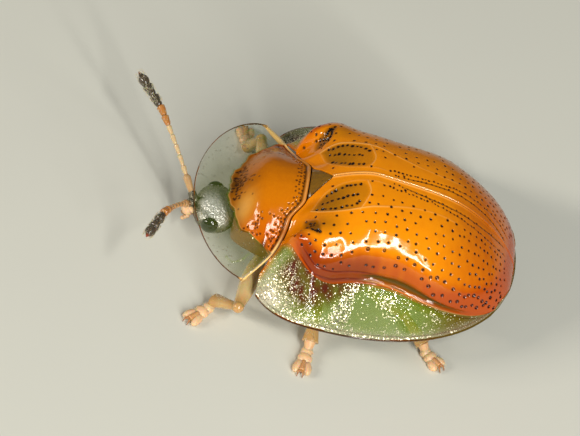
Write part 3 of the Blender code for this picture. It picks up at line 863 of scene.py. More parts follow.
AMBER_HORN = Finish(
    "amber_horn_polished",
    "#f09204",
    roughness=0.09,
    ior=1.40,
    grain_mm=0.10,
    relief_mm=0.0003,
    tint="#ea8204",
    tint_share=0.5,
    masks=AMBER_MASKS,
)
SHIELD_HORN = Finish(
    "amber_horn_satin",
    "#d28606",
    roughness=0.08,
    ior=1.27,
    grain_mm=0.06,
    relief_mm=0.0004,
    tint="#b06404",
    tint_share=0.6,
    masks=AMBER_MASKS,
)
CLEAR_HORN = ClearHorn(
    "clear_horn_margin",
    "#93b02c",
    roughness=0.07,
    ior=1.5,
    grain_mm=0.15,
    relief_mm=0.0015,
    tint="#6f8f22",
    tint_share=0.7,
    masks=(
        ("olive", "#6e5406", 1.0),
        # silver: a pale colour painted where glints of light fall, on the margin's front corner, along its rim and on
        # the shield's hind edge.
        ("silver", "#efe9cf", 1.0),
        ("amber", "#c46a08", 1.0),
        # stain: red-brown of the margin's stain, which also serves as painted shadow along the foot of the dome.
        ("stain", "#5c2412", 1.0),
    ),
)
OLIVE_HORN = Finish(
    "olive_brown_horn",
    "#8a5a10",
    roughness=0.20,
    grain_mm=0.07,
    tint="#6f5a16",
    tint_share=0.8,
    coat=0.2,
    masks=(("pit", "#1d130a", 1.0), ("pale", "#d8b070", 1.0)),
)
HEAD_HORN = Finish(
    "dark_horn_with_metal_sheen",
    "#7c7760",
    roughness=0.22,
    grain_mm=0.05,
    relief_mm=0.028,
    tint="#332f1f",
    tint_share=0.6,
    metallic=0.5,
    # silver_tone_and_painted_glint: near white, the head's silver tone with a painted glint on it.
    masks=(("silver_tone_and_painted_glint", "#fbfaf4", 1.0), ("pit", "#0b0a07", 1.0)),
)
UNDER_HORN = Finish(
    "dark_brown_horn",
    "#2b190c",
    roughness=0.34,
    grain_mm=0.06,
    relief_mm=0.004,
    tint="#120a06",
    tint_share=0.7,
    coat=0.2,
    masks=(("pale", "#8a5a24", 1.0), ("pit", "#080504", 1.0)),
)
EYE_HORN = Finish(
    "black_faceted_eye",
    "#0b0a0c",
    roughness=0.12,
    grain_mm=0.03,
    relief_mm=0.004,
    tint="#1e1a18",
    tint_share=0.5,
    coat=0.6,
)
FEELER_HORN = Finish(
    "feeler_horn",
    "#dcc69c",
    roughness=0.22,
    grain_mm=0.04,
    tint="#b98b45",
    tint_share=0.6,
    coat=0.4,
    glow=0.3,
    glow_mm=0.08,
    masks=(("tan", "#b5793a", 1.0), ("dark", "#2a2622", 1.0), ("tip", "#8a3b22", 1.0)),
)
LEG_HORN = Finish(
    "honey_leg_horn",
    "#e2cb94",
    roughness=0.18,
    grain_mm=0.07,
    tint="#c8a25c",
    tint_share=0.6,
    coat=0.3,
    glow=0.4,
    glow_mm=0.12,
    masks=(("amber", "#b2701e", 1.0), ("dark", "#4a2a10", 1.0)),
)
FOOT_PAD = Finish(
    "peach_foot_pad",
    "#f0cfa4",
    roughness=0.42,
    grain_mm=0.03,
    relief_mm=0.005,
    tint="#dca06a",
    tint_share=0.7,
    glow=0.4,
    glow_mm=0.1,
    masks=(("amber", "#b9772c", 1.0), ("dark", "#4a2410", 1.0)),
)
PALE_HAIR = Finish(
    "pale_bristle",
    "#efe3c4",
    roughness=0.3,
    grain_mm=0.02,
    relief_mm=0.0005,
    tint="#d6c088",
    tint_share=0.6,
    glow=0.2,
    glow_mm=0.03,
)


# Wing cases


def foot_share(level, x0: Array, y0: Array, x1: Array, y1: Array) -> Array:
    """Where each straight line from (x0, y0) to (x1, y1) crosses level 1, by halving.

    Args:
        level: function of x and y that grows along the lines.
        x0: start of each line in x.
        y0: start of each line in y.
        x1: end of each line in x.
        y1: end of each line in y.

    Returns:
        The share of each line's length.
    """
    low = np.zeros_like(x1)
    high = np.ones_like(x1)
    for _ in range(26):
        middle = (low + high) / 2
        inside = level(blend(x0, x1, middle), blend(y0, y1, middle)) < 1
        low = np.where(inside, middle, low)
        high = np.where(inside, high, middle)
    return np.clip(low, 0.02, 0.97)


@dataclass
class Pits:
    """Round pits with dark floors, set into a surface.

    Attributes:
        centres: middle of each pit, in mm.
        radii: radius of each.
        depth: depth as a share of the radius.
        ring: 0 for a dark floor, 1 for a dark ring round a paler floor.
    """

    centres: Array
    radii: Array
    depth: float
    ring: Array

    def press(self, grid: Array) -> tuple[Array, Array]:
        """Relief and dark mark that the pits give a grid of points.

        A pit's relief is minus depth times (1 minus the squared distance over radius) squared.
        Its mark is 1 on the floor, or on a ring at two thirds of the radius.

        Args:
            grid: points, any shape by 3.

        Returns:
            The relief in mm and the mark, both in the grid's shape.
        """
        flat = grid.reshape(-1, 3)
        relief = np.zeros(len(flat))
        mark = np.zeros(len(flat))
        order = np.argsort(flat[:, 1])
        rank = flat[order, 1]
        for centre, radius, ring in zip(self.centres, self.radii, self.ring):
            span = 1.6 * radius
            low, high = np.searchsorted(rank, (centre[1] - span, centre[1] + span))
            near = order[low:high]
            far = np.linalg.norm(flat[near] - centre, axis=1) / radius
            bowl = np.clip(1 - (far / 1.25) ** 2, 0.0, 1.0) ** 2
            relief[near] = np.minimum(relief[near], -self.depth * radius * bowl)
            floor = 1 - smoothstep((far - 0.72) / 0.45)
            band = np.clip(1 - ((far - 0.72) / 0.42) ** 2, 0.0, 1.0)
            mark[near] = np.maximum(mark[near], blend(floor, band, ring))
        return relief.reshape(grid.shape[:-1]), mark.reshape(grid.shape[:-1])


@dataclass
class WingCases:
    """The two wing cases: domed amber discs with wide clear margins.

    Attributes:
        rows: grid rows from the front edge to the apex.
        dome_columns: columns from the seam to the foot of the dome.
        margin_columns: columns from there to the rim.
        stride: how many rows of the upper face share one row of the lower.
        striae: share of the dome's half width at which each lengthwise row of pits runs.
        seam_line: dark line beside the seam, in plan.
        second_line: row of close pits outside it, in plan.
        outer_vein: raised line below the brown field, in plan.
        inner_vein: raised line above the brown field, in plan.
        hook: raised line that closes the brown field behind, in plan.
        field: outline of the brown field, in plan.
        pocket: outline of the small dark field in front of the shoulder, in plan.
        field_rows: rows of larger pits in the brown field, in plan.
        stain: outline of the red-brown patch in the margin, in plan; behind the shoulder it runs back along the foot
            of the dome as painted shadow of the flank.
        wedge: outline of the largest cloud of glitter, in plan.
        glitter: place, reach and strength of each cloud of glitter in the margin.
    """

    rows: int = 361
    dome_columns: int = 152
    margin_columns: int = 56
    stride: int = 4
    striae: tuple[float, ...] = (0.12, 0.31, 0.42, 0.53, 0.64, 0.74, 0.83, 0.91, 0.97)
    tip_share: float = 0.14
    disc_thick: float = 0.16
    rim_thick: float = 0.04
    rim_width: float = 0.035
    seam_line: tuple = ((0.11, -0.05), (0.13, 0.28), (0.19, 0.7), (0.23, 1.2), (0.23, 1.8), (0.20, 2.2), (0.10, 2.62))
    second_line: tuple = ((0.22, -0.1), (0.26, 0.5), (0.30, 1.0), (0.36, 1.5), (0.38, 2.05), (0.36, 2.4), (0.25, 2.7))
    outer_vein: tuple = (
        (0.83, -1.53),
        (0.98, -1.27),
        (0.97, -0.92),
        (0.91, -0.60),
        (0.79, -0.21),
        (0.66, 0.20),
        (0.58, 0.53),
        (0.52, 1.01),
        (0.54, 1.48),
    )
    inner_vein: tuple = ((0.83, -1.53), (0.45, -1.37), (0.30, -1.16), (0.20, -0.90), (0.18, -0.52), (0.19, 0.44))
    hook: tuple = ((0.93, -0.58), (0.72, -0.48), (0.46, -0.40), (0.20, -0.52))
    field: tuple = (
        (0.83, -1.51),
        (0.46, -1.34),
        (0.32, -1.14),
        (0.24, -0.90),
        (0.22, -0.57),
        (0.42, -0.43),
        (0.70, -0.51),
        (0.90, -0.62),
        (0.95, -0.91),
        (0.96, -1.25),
        (0.83, -1.51),
    )
    pocket: tuple = ((1.00, -1.62), (1.06, -1.44), (1.22, -1.36), (1.58, -1.25), (1.46, -1.48), (1.22, -1.62), (1.00, -1.62))
    field_rows: tuple = (
        ((0.83, -1.45), (0.89, -1.22), (0.88, -0.95), (0.82, -0.70), (0.70, -0.57)),
        ((0.48, -1.30), (0.39, -1.12), (0.30, -0.90), (0.28, -0.60)),
        ((0.70, -1.36), (0.66, -1.14), (0.60, -0.92), (0.55, -0.62)),
    )
    stain: tuple = (
        (1.85, -1.95),
        (2.22, -1.82),
        (2.48, -1.52),
        (2.58, -1.20),
        (2.42, -0.88),
        (2.14, -0.55),
        (1.85, -0.10),
        (1.60, -0.10),
        (1.60, -1.60),
        (1.85, -1.95),
    )
    wedge: tuple = ((1.78, -0.24), (2.10, -0.54), (2.45, -0.70), (2.76, -0.68), (2.74, -0.36), (2.30, -0.28), (1.78, -0.24))
    glitter: tuple = (
        (2.15, -2.00, 0.50, 1.0),
        (2.48, -1.68, 0.36, 1.0),
        (2.02, 0.42, 0.13, 0.9),
        (2.20, 0.62, 0.12, 0.5),
        (1.95, 1.45, 0.08, 0.7),
        (1.86, 0.10, 0.10, 0.6),
    )

    def plan(self) -> tuple[Array, Array, Array]:
        """Plan points of the left wing case.

        Lines run from the seam to points of the rim at even angles, with one column on the
        foot of the dome and columns placed by a sine up to it, so that they are even on its
        round side.

        Returns:
            x and y of the grid, and each column's place: 0 to 1 on the dome, 1 to 2 beyond.
        """
        rows = np.linspace(0.0, 1.0, self.rows)
        inner = SHELL.scutellum_half_width + SHELL.seam
        before = np.clip(rows / self.tip_share, 0.0, 1.0)
        along = np.clip((rows - self.tip_share) / (1 - self.tip_share), 0.0, 1.0)
        seam_x = blend(inner, SHELL.seam / 2, before)
        seam_y = np.where(
            rows < self.tip_share,
            blend(SHIELD.collar_y(inner) + SHELL.seam, SHELL.scutellum_tip_y, before),
            blend(SHELL.scutellum_tip_y, SHELL.apex_y - SHELL.seam, along**0.85),
        )
        corner = math.atan2(SHELL.corner[1] - SHELL.widest_y, SHELL.corner[0])
        angle = blend(corner, math.pi / 2, rows**0.96)
        reach = 1 / SHELL.rim_level(np.cos(angle), SHELL.widest_y + np.sin(angle))
        rim_x = np.maximum(reach * np.cos(angle), SHELL.seam / 2)
        rim_y = SHELL.widest_y + reach * np.sin(angle)
        foot = foot_share(SHELL.disc_level, seam_x, seam_y, rim_x, rim_y)[:, None]
        inside = np.sin(np.linspace(0, 0.5, self.dome_columns + 1) * math.pi)
        outside = np.linspace(0, 1, self.margin_columns + 1)[1:]
        share = np.concatenate([foot * inside, blend(foot, 1.0, outside)], axis=1)
        x = blend(seam_x[:, None], rim_x[:, None], share)
        y = blend(seam_y[:, None], rim_y[:, None], share)
        front = np.maximum(SHIELD.collar_y(x[0]) + SHELL.seam, SHELL.corner[1])
        sag = (1 - rows[:, None]) ** 6
        y = y + sag * (front - y[0])[None, :] * (share < 1.0)
        place = np.concatenate([inside, 1 + outside])
        return x, y, np.broadcast_to(place, x.shape)

    def shown(self, outline: tuple, x: Array, y: Array, soft: float) -> Array:
        """1 inside a rounded outline, 0 outside, with an edge as soft as given."""
        return smoothstep(0.5 + inside_by(x, y, rounded(outline)) / (2 * soft))

    def pits(self, side: Side) -> Pits:
        """Pits in lengthwise rows, closer beside the seam and at the rear.

        The brown field has more and larger ones, the low side has large ones with pale floors.

        Args:
            side: the side, for its own random offsets.

        Returns:
            The pits on the left side.
        """
        draw = np.random.default_rng(SEED + side.value)
        spots = []
        for number, share in enumerate(self.striae):
            y = float(SHIELD.collar_y(share * 1.9)) + 0.22
            low = smoothstep((share - 0.80) / 0.12)
            while y < (0.1 if number == 0 else 2.72):
                rear = smoothstep((y - 0.8) / 1.4)
                y += blend(0.225, 0.105, max(rear, 0.4 * low)) * draw.uniform(0.75, 1.25)
                x = share * float(SHELL.disc_width(np.array(y))) + draw.normal(0, 0.014)
                hidden = inside_by(np.array(x), np.array(y), np.array(self.field)) > -0.04
                if draw.uniform() < 0.12 * (1 - rear) or x < 0.09 or hidden:
                    continue
                ring = low * smoothstep((y + 0.7) / 0.3) * draw.uniform(0.5, 1.0)
                size = draw.uniform(0.024, 0.033) + 0.012 * ring
                spots.append((x, y + draw.normal(0, 0.012), size, ring))
        rows = [(track, 0.095, 0.036) for track in self.field_rows]
        rows += [(self.second_line, 0.085, 0.024), (self.seam_line, 0.10, 0.022)]
        for track, gap, radius in rows:
            line = rounded(track)
            length = np.concatenate([[0.0], np.cumsum(np.linalg.norm(np.diff(line, axis=0), axis=1))])
            stops = np.arange(draw.uniform(0, gap), length[-1], gap)
            stops = stops + draw.normal(0, gap * 0.15, len(stops))
            for stop in stops:
                x, y = (float(np.interp(stop, length, line[:, i])) for i in (0, 1))
                spots.append((x + draw.normal(0, 0.010), y, radius * draw.uniform(0.75, 1.2), 0.0))
        for _ in range(44):
            x, y = draw.uniform(1.02, 1.55), draw.uniform(-1.62, -1.27)
            if inside_by(np.array(x), np.array(y), np.array(self.pocket)) > 0.01:
                spots.append((x, y, draw.uniform(0.022, 0.036), 0.0))
        x, y, size, ring = np.array(spots).T
        centres = np.stack([x, y, SHELL.top(x, y)], axis=-1)
        return Pits(centres, size, 0.8, ring)

    def relief(self, grid: Array, on_dome: Array, from_foot: Array, from_rim: Array) -> tuple[Array, dict]:
        """Fine relief of the upper face and the shapes that its colours follow.

        Faint furrows run along the rows of pits, a dark line runs beside the seam behind the
        middle. The brown field is sunk between raised veins. Behind the shoulder a trough and a
        bead run round the foot of the dome, in front of it a crease. A bead stands inside the rim.

        Args:
            grid: points of the upper face.
            on_dome: true on the dome.
            from_foot: distance to the foot of the dome.
            from_rim: distance to the rim.

        Returns:
            The relief in mm, and the shapes by name.
        """
        x, y = grid[..., 0], grid[..., 1]
        width = np.maximum(SHELL.disc_width(y), 1e-3)
        level = SHELL.disc_level(x, y)
        furrow = np.zeros_like(x)
        for stria in self.striae:
            furrow += bell((x / width - stria) * width / max(1.15 - 0.9 * stria, 0.3), 0.03)
        first = bell(track_gap(x, y, rounded(self.seam_line)), 0.016) * smoothstep((y - 0.05) / 0.5)
        second = bell(track_gap(x, y, rounded(self.second_line)), 0.011) * smoothstep((y - 0.6) / 0.9)
        vein = bell(track_gap(x, y, rounded(self.outer_vein)), 0.012)
        vein = vein * blend(1.0, 0.35, smoothstep((y + 0.5) / 1.2))
        inner = bell(track_gap(x, y, rounded(self.inner_vein)), 0.011)
        vein = np.maximum(vein, 0.35 * inner * (1 - smoothstep((y + 0.5) / 0.9)))
        vein = np.maximum(vein, 0.8 * bell(track_gap(x, y, rounded(self.hook)), 0.011)) * on_dome
        behind = smoothstep((y + 0.35) / 0.4)
        wide = 0.040 + 0.065 * bell(y - 0.65, 0.65)
        trough = bell(from_foot - wide - 0.035, wide) * on_dome * behind * (1 - smoothstep((y - 1.4) / 0.9))
        bead = np.where(on_dome, bell(from_foot, 0.012), bell(from_foot - 0.004, 0.014))
        open_side = behind * smoothstep((2.6 - y) / 0.4)
        before = smoothstep((0.35 - y) / 0.5) * smoothstep((y + 1.68) / 0.35)
        crease = bell(from_foot - 0.20, 0.014) * on_dome * before
        seam = bell(x - 0.026, 0.017)
        shapes = {
            "furrow": furrow * smoothstep((level - 0.02) / 0.05) * on_dome,
            "line": np.clip(first + 0.6 * second, 0, 1) * on_dome,
            "field": self.shown(self.field, x, y, 0.06) * on_dome,
            "pocket": self.shown(self.pocket, x, y, 0.05) * on_dome,
            "vein": vein,
            "trough": trough,
            "bead": bead * open_side,
            "outer_line": bell(from_foot - 0.055, 0.014) * ~on_dome * open_side,
            "crease": crease,
            "foot_line": bell(from_foot, 0.020) * before,
            "seam": seam * (1 - smoothstep((y - 2.4) / 0.4)),
            "front_edge": bell(y - SHIELD.collar_y(x) - 0.05, 0.035) * (x < 1.9),
            "rim_bead": bell(from_rim - 0.075, 0.022) * ~on_dome,
            "level": level,
        }
        rear = smoothstep((y - 0.6) / 1.8)
        relief = -0.0005 * shapes["furrow"] - 0.016 * shapes["line"]
        relief = relief - 0.012 * shapes["field"] + 0.014 * vein - 0.025 * shapes["pocket"]
        relief = relief - 0.055 * trough + 0.020 * shapes["bead"] - 0.012 * shapes["outer_line"]
        relief = relief - 0.012 * crease + 0.020 * seam * (1 - rear) + 0.008 * seam * rear
        relief = relief + 0.016 * shapes["rim_bead"] + 0.012 * shapes["front_edge"]
        relief = relief + 0.0009 * ripple(x, y, 0.30, 14, SEED) * on_dome
        return relief, shapes

    def build(self, side: Side, finishes: list[bpy.types.Material]) -> bpy.types.Object:
        """Builds one wing case as a closed shell: the height field pushed out by its relief.

        Args:
            side: which wing case.
            finishes: amber horn, then clear horn.

        Returns:
            The object.
        """
        x, y, place = self.plan()
        grid = np.stack([x, y, SHELL.top(x, y)], axis=-1)
        normal = grid_normals(grid)
        on_dome = place <= 1.0
        from_rim = np.linalg.norm(grid - grid[:, -1:, :], axis=-1)
        foot = grid[:, self.dome_columns : self.dome_columns + 1, :]
        from_foot = np.linalg.norm(grid - foot, axis=-1)
        sunk, pit = self.pits(side).press(grid)
        relief, shape = self.relief(grid, on_dome, from_foot, from_rim)
        top = grid + normal * (relief + sunk * on_dome)[..., None]
        thin = np.clip(from_foot / 0.12, 0.0, 1.0)
        thick = np.where(on_dome, self.disc_thick, blend(self.disc_thick, self.rim_thick, thin))
        under = grid - normal * thick[..., None]

        level = shape["level"]
        rear = smoothstep((y - 0.8) / 1.6)
        # flank: the dome deepens in colour down its sides, partly the shell's own deeper orange and partly painted
        # shade.
        flank = smoothstep((level - 0.80 - 0.05 * smoothstep((y - 0.4) / 1.0)) / 0.14) * smoothstep((y + 1.95) / 0.4)
        front = smoothstep((0.3 - y) / 0.6)
        low_side = smoothstep((level - 0.84 - 0.04 * smoothstep((y - 0.4) / 1.0)) / 0.14)
        low_side = low_side * smoothstep((2.6 - y) / 0.8) * smoothstep((y + 1.78) / 0.35) * on_dome
        shoulder = bell(y + 1.75, 0.45) * smoothstep((level - 0.75) / 0.2)
        cloudy = 0.5 + 0.5 * ripple(x, y, 0.22, 12, 41)
        # The patch is the margin's own red-brown stain, and where it runs back along the foot of the dome it is
        # painted shadow of the flank.
        patch = self.shown(self.stain, x, y, 0.16) * ~on_dome * np.clip(0.75 + 0.25 * cloudy, 0, 1)
        rim = smoothstep((self.rim_width - from_rim) / 0.012)
        beads = np.clip(shape["bead"] + shape["rim_bead"] * 0.4, 0, 1)
        deep = 0.60 * rear + 0.85 * flank + 0.20 * shoulder + 0.15 * smoothstep((-0.9 - y) / 0.7)
        deep = deep + 0.10 * (cloudy - 0.5)
        brown = 0.70 * shape["pocket"] + 0.95 * shape["trough"]
        red = 0.72 * low_side * blend(0.3, 1.0, front) + 0.6 * shape["crease"] + 0.4 * shape["foot_line"]
        red = red + 0.16 * rear * on_dome + 0.55 * ~on_dome * smoothstep((y + 1.6) / 0.4) * smoothstep((0.2 - y) / 0.4)
        tawny = 0.62 * shape["field"] * blend(0.55, 1.0, smoothstep((-0.55 - y) / 0.6)) + 0.5 * shape["trough"]
        tawny = tawny + 0.40 * bell(np.hypot(x - 1.30, (y + 1.20) / 1.5), 0.22)
        collar_gap = y - SHIELD.collar_y(x)
        near_foot = 1 - smoothstep((from_foot - 0.04) / (0.06 + 0.16 * bell(y + 1.80, 0.35)))
        flap = np.maximum(near_foot * bell(y + 1.75, 0.45), bell(collar_gap, 0.13) * smoothstep((2.34 - x) / 0.3))
        golden = smoothstep((y - 0.9) / 1.1)
        band = bell(from_rim - 0.03, 0.14) * (1 - 0.6 * golden)
        glint = 0.04 + 0.12 * golden + 0.90 * band + 0.16 * patch
        cloud = self.shown(self.wedge, x, y, 0.07)
        for spot_x, spot_y, reach, strength in self.glitter:
            cloud = np.maximum(cloud, strength * bell(np.hypot(x - spot_x, y - spot_y), reach))
        # Painted highlight: the front corner and the band inside the rim are painted a pale silver where glints of
        # light fall on them.
        corner = bell(np.hypot(x - 2.30, y + 2.05), 0.45)
        silver = np.maximum(corner, 0.5 * band) * (1 - patch)
        if side is Side.RIGHT:
            patch = np.maximum(patch, bell(np.hypot(x - 2.10, y + 1.95), 0.40) * ~on_dome)
            silver = 0.4 * band
        marks = {
            "pit": np.clip(1.5 * pit, 0, 1) * on_dome,
            "deep": np.clip(deep, 0, 1),
            "red": np.clip(red + 0.7 * shape["outer_line"] + 0.3 * rim, 0, 1),
            "brown": np.clip((brown + 0.85 * shape["line"]) * on_dome + 0.9 * rim, 0, 1),
            "pale": np.clip(0.4 * shape["vein"] + 0.5 * shape["seam"] * (1 - rear) ** 2 + 0.3 * beads, 0, 1),
            "stain": np.clip(patch + 0.5 * shape["outer_line"], 0, 1),
            "amber": np.clip(1.1 * flap, 0, 1),
            "olive": np.clip((0.9 * golden + 0.4 * shape["rim_bead"]) * ~on_dome + tawny * on_dome, 0, 1),
            "silver": np.clip(silver, 0, 1),
            "fleck": np.clip(np.maximum(glint, cloud) * (1 - 0.8 * flap), 0, 1),
            "veil": np.clip(0.36 + 0.42 * golden + 0.60 * patch + flap + 0.55 * silver, 0, 0.95),
        }
        clear = (place[:-1, :-1] > 1.0 + 1.5 / self.margin_columns) & (from_rim[1:, :-1] > self.rim_width)
        flip = np.array([side.value, 1.0, 1.0])
        skin = Skin("wing_case_" + side.word, tuple(marks))
        skin.slab(top * flip, under * flip, np.where(clear, 1, 0), 0, self.stride, **marks)
        return skin.make(finishes, ("elytron_" + side.word,), "amber_shell")


@dataclass
class Scutellum:
    """The small triangular plate between the wing cases.

    Attributes:
        rows: grid rows from its front edge to its tip.
        thick: thickness in mm.
    """

    rows: int = 48
    thick: float = 0.12

    def build(self, finish: bpy.types.Material) -> bpy.types.Object:
        """Builds the plate: a triangle on the shell's height field, sunk at its edges.

        Args:
            finish: olive brown horn.

        Returns:
            The object.
        """
        share = np.linspace(0.0, 1.0, self.rows)[:, None]
        front = SHIELD.collar + SHELL.seam
        across = np.linspace(-1.0, 1.0, self.rows)[None, :]
        half = SHELL.scutellum_half_width * (1 - 0.97 * share**1.1)
        x = half * across
        y = blend(front, SHELL.scutellum_tip_y - 0.02, share) + 0 * x
        rim = np.maximum(np.abs(across) ** 6, share**14)
        z = SHELL.top(x, y) + 0.010 - 0.035 * rim + 0.004 * ripple(x, y, 0.12, 12, 7)
        top = np.stack([x, y, z], axis=-1)
        under = top - np.array([0, 0, self.thick])
        skin = Skin("scutellum_plate", ("pit", "pale"))
        dots = np.clip(ripple(x, y, 0.09, 16, 9) - 1.1, 0, 1)
        skin.slab(top, under, pit=np.clip(0.9 * rim + 0.5 * dots, 0, 1), pale=0.0 * x)
        return skin.make([finish], ("scutellum",), "olive_plate")


# Neck shield


@dataclass
class NeckShield:
    """The neck shield: an opaque amber disc with a clear margin over the head.

    Attributes:
        rows: grid rows from one hind corner round to the other.
        disc_columns: columns from the hind edge to the edge of the disc.
        margin_columns: columns from there to the rim.
    """

    rows: int = 377
    disc_columns: int = 96
    margin_columns: int = 72
    stride: int = 4
    disc_thick: float = 0.12
    rim_thick: float = 0.035
    rim_width: float = 0.022

    def wavy_level(self, x: Array, y: Array) -> Array:
        """The disc's level with the lobes of its coloured edge: a few sines of the bearing."""
        bearing = np.arctan2(SHIELD.disc_y - y, np.abs(x))
        lobes = 0.030 * np.sin(bearing * 9 + 0.6) + 0.012 * np.sin(bearing * 23 + x)
        drawn_in = 0.04 + 0.09 * smoothstep((x - 0.9) / 0.5)
        front = 0.07 * smoothstep((SHIELD.disc_y - 0.3 - y) / 0.4)
        return SHIELD.disc_level(x, y) * (1 + lobes + drawn_in - front)

    def plan(self) -> tuple[Array, Array, Array]:
        """Plan points: lines from the hind edge to the rim, with a column on the disc's edge.

        Returns:
            x and y of the grid, and each column's place: 0 to 1 on the disc, 1 to 2 beyond.
        """
        angle = np.linspace(0.0, math.pi, self.rows)
        back_x = SHIELD.half_width * np.sin(np.linspace(-0.5, 0.5, self.rows) * math.pi)
        back_y = SHIELD.collar_y(back_x)
        across, along = np.cos(angle), np.sin(angle)
        reach = 1 / superlevel(across, along, SHIELD.half_width, SHIELD.reach, SHIELD.power)
        rim_x = -reach * across
        rim_y = SHIELD.corner_y - reach * along
        foot = foot_share(self.wavy_level, back_x, back_y, rim_x, rim_y)[:, None]
        inside = np.linspace(0, 1, self.disc_columns + 1) ** 1.25
        outside = np.linspace(0, 1, self.margin_columns + 1)[1:]
        share = np.concatenate([foot * inside, blend(foot, 1.0, outside)], axis=1)
        x = blend(back_x[:, None], rim_x[:, None], share)
        y = blend(back_y[:, None], rim_y[:, None], share)
        place = np.concatenate([inside, 1 + outside])
        return x, y, np.broadcast_to(place, x.shape)

    def pits(self) -> Pits:
        """Two rows of pits along the hind edge, and two clusters on the front of the disc."""
        draw = np.random.default_rng(SEED + 40)
        rows = []
        for ahead, step in ((0.115, 0.075), (0.19, 0.085), (0.26, 0.13)):
            x = np.arange(-1.60, 1.60, step)
            x = x + draw.normal(0, 0.012, len(x))
            rows.append(np.stack([x, SHIELD.collar_y(x) - ahead + draw.normal(0, 0.010, len(x))], -1))
        cluster = draw.normal(0, 1.0, (120, 2)) * (0.30, 0.12) + (-0.12, -3.04)
        low = draw.normal(0, 1.0, (30, 2)) * (0.16, 0.18) + (1.08, -2.52)
        rows += [cluster, low, low * (-1, 1)]
        plan = np.concatenate(rows)
        plan = plan[self.wavy_level(plan[:, 0], plan[:, 1]) < 0.97]
        centres = np.stack([plan[:, 0], plan[:, 1], SHIELD.top(plan[:, 0], plan[:, 1])], axis=-1)
        radii = draw.uniform(0.019, 0.028, len(plan))
        return Pits(centres, radii, 0.7, np.zeros(len(plan)))

    def build(self, finishes: list[bpy.types.Material]) -> bpy.types.Object:
        """Builds the shield as a closed shell.

        The hind edge is a ridge with a groove before it, the margin carries faint rays, a bent
        crease near each hind corner and a fine bead inside the rim.

        Args:
            finishes: satin amber horn, then clear horn.

        Returns:
            The object.
        """
        x, y, place = self.plan()
        grid = np.stack([x, y, SHIELD.top(x, y)], axis=-1)
        normal = grid_normals(grid)
        on_disc = place <= 1.0
        ahead = SHIELD.collar_y(x) - y
        from_rim = np.linalg.norm(grid - grid[:, -1:, :], axis=-1)
        edge_point = grid[:, self.disc_columns : self.disc_columns + 1, :]
        from_edge = np.linalg.norm(grid - edge_point, axis=-1)
        sunk, pit = self.pits().press(grid)
        ridge = bell(ahead - 0.035, 0.026)
        groove = bell(ahead - 0.092, 0.020) * smoothstep((1.80 - np.abs(x)) / 0.2)
        crease_line = rounded(((1.60, -2.58), (1.80, -2.72), (1.90, -2.92), (1.78, -3.05)))
        crease = bell(track_gap(np.abs(x), y, crease_line), 0.018) * ~on_disc
        bearing = np.arctan2(SHIELD.corner_y + 0.6 - y, x)
        rays = ripple(bearing * 1.6, 0 * x, 0.07, 12, 15) * ~on_disc
        tip = smoothstep((np.hypot(np.abs(x) - SHIELD.half_width, y - SHIELD.corner_y) - 0.03) / 0.25)
        relief = sunk * on_disc + 0.022 * ridge - 0.022 * groove + 0.012 * crease
        relief = relief + 0.010 * bell(from_rim - 0.045, 0.014) + 0.0012 * rays
        relief = (relief + 0.0014 * ripple(x, y, 0.22, 14, 17) * on_disc) * tip
        fade = smoothstep((0.03 - from_edge) / 0.03) * on_disc
        normal = unit(blend(np.array([0.0, 0.0, 1.0]), normal, tip[..., None]))
        top = grid + normal * (relief - 0.008 * fade)[..., None]
        thin = np.clip(from_edge / 0.10, 0.0, 1.0)
        thick = np.where(on_disc, self.disc_thick, blend(self.disc_thick, self.rim_thick, thin))
        under = grid - normal * thick[..., None]
        rim = smoothstep((self.rim_width - from_rim) / 0.010)
        front = smoothstep((-2.72 - y) / 0.25) * smoothstep((SHIELD.disc_level(x, y) - 0.70) / 0.30)
        corner = bell(np.abs(x) - 1.40, 0.10) * bell(y + 2.34, 0.07)
        # lit: a painted pool of light on the near front of the disc, less deep and paler there.
        lit = bell(x - 0.62, 0.28) * bell(y + 2.86, 0.16)
        # dusk: painted shade round the front middle of the disc.
        dusk = 0.5 * bell(np.hypot(x, y + 3.04), 0.28) * on_disc
        edge_line = bell(from_edge, 0.022) * on_disc
        # hind: a painted highlight, pale and silver along the outer parts of the hind edge where light catches the
        # ridge; the dark rim gives way to it.
        hind = smoothstep((0.075 - ahead) / 0.03) * smoothstep((np.abs(x) - 1.05) / 0.35)
        rim = rim * (1 - hind)
        marks = {
            "pit": np.where(on_disc, np.clip(0.85 * pit + 0.8 * corner, 0, 1), 0.0),
            "deep": np.clip(0.35 * (1 - lit) - 0.3 * lit + 0.4 * smoothstep((np.abs(x + 0.1) - 0.6) / 0.8), 0, 1),
            "red": 0.5 * rim,
            "brown": np.clip(0.85 * groove + 0.45 * front * on_disc + 0.85 * rim + dusk, 0, 1),
            "pale": np.clip(0.25 * ridge + 0.22 * lit * on_disc + 0.20 * edge_line + 0.75 * hind, 0, 1),
            # Darker red-brown just outside the disc's edge.
            "stain": np.clip(0.5 * bell(from_edge, 0.03), 0, 1),
            "olive": np.clip(0.5 * bell(from_rim - 0.05, 0.02) * ~on_disc, 0, 1),
            "silver": hind,
            "fleck": np.clip(0.03 + 0.25 * crease + 0.35 * hind, 0, 1),
            "amber": 0.0 * x,
            "veil": np.clip(0.07 + 0.5 * bell(from_edge, 0.03) + 0.2 * crease, 0, 1),
        }
        clear = (place[:-1, :-1] >= 1.0) & (from_rim[1:, :-1] > self.rim_width)
        skin = Skin("neck_shield", tuple(marks))
        skin.slab(top, under, np.where(clear, 1, 0), 0, self.stride, **marks)
        return skin.make(finishes, ("pronotum",), "amber_shield")


# Body below the shell


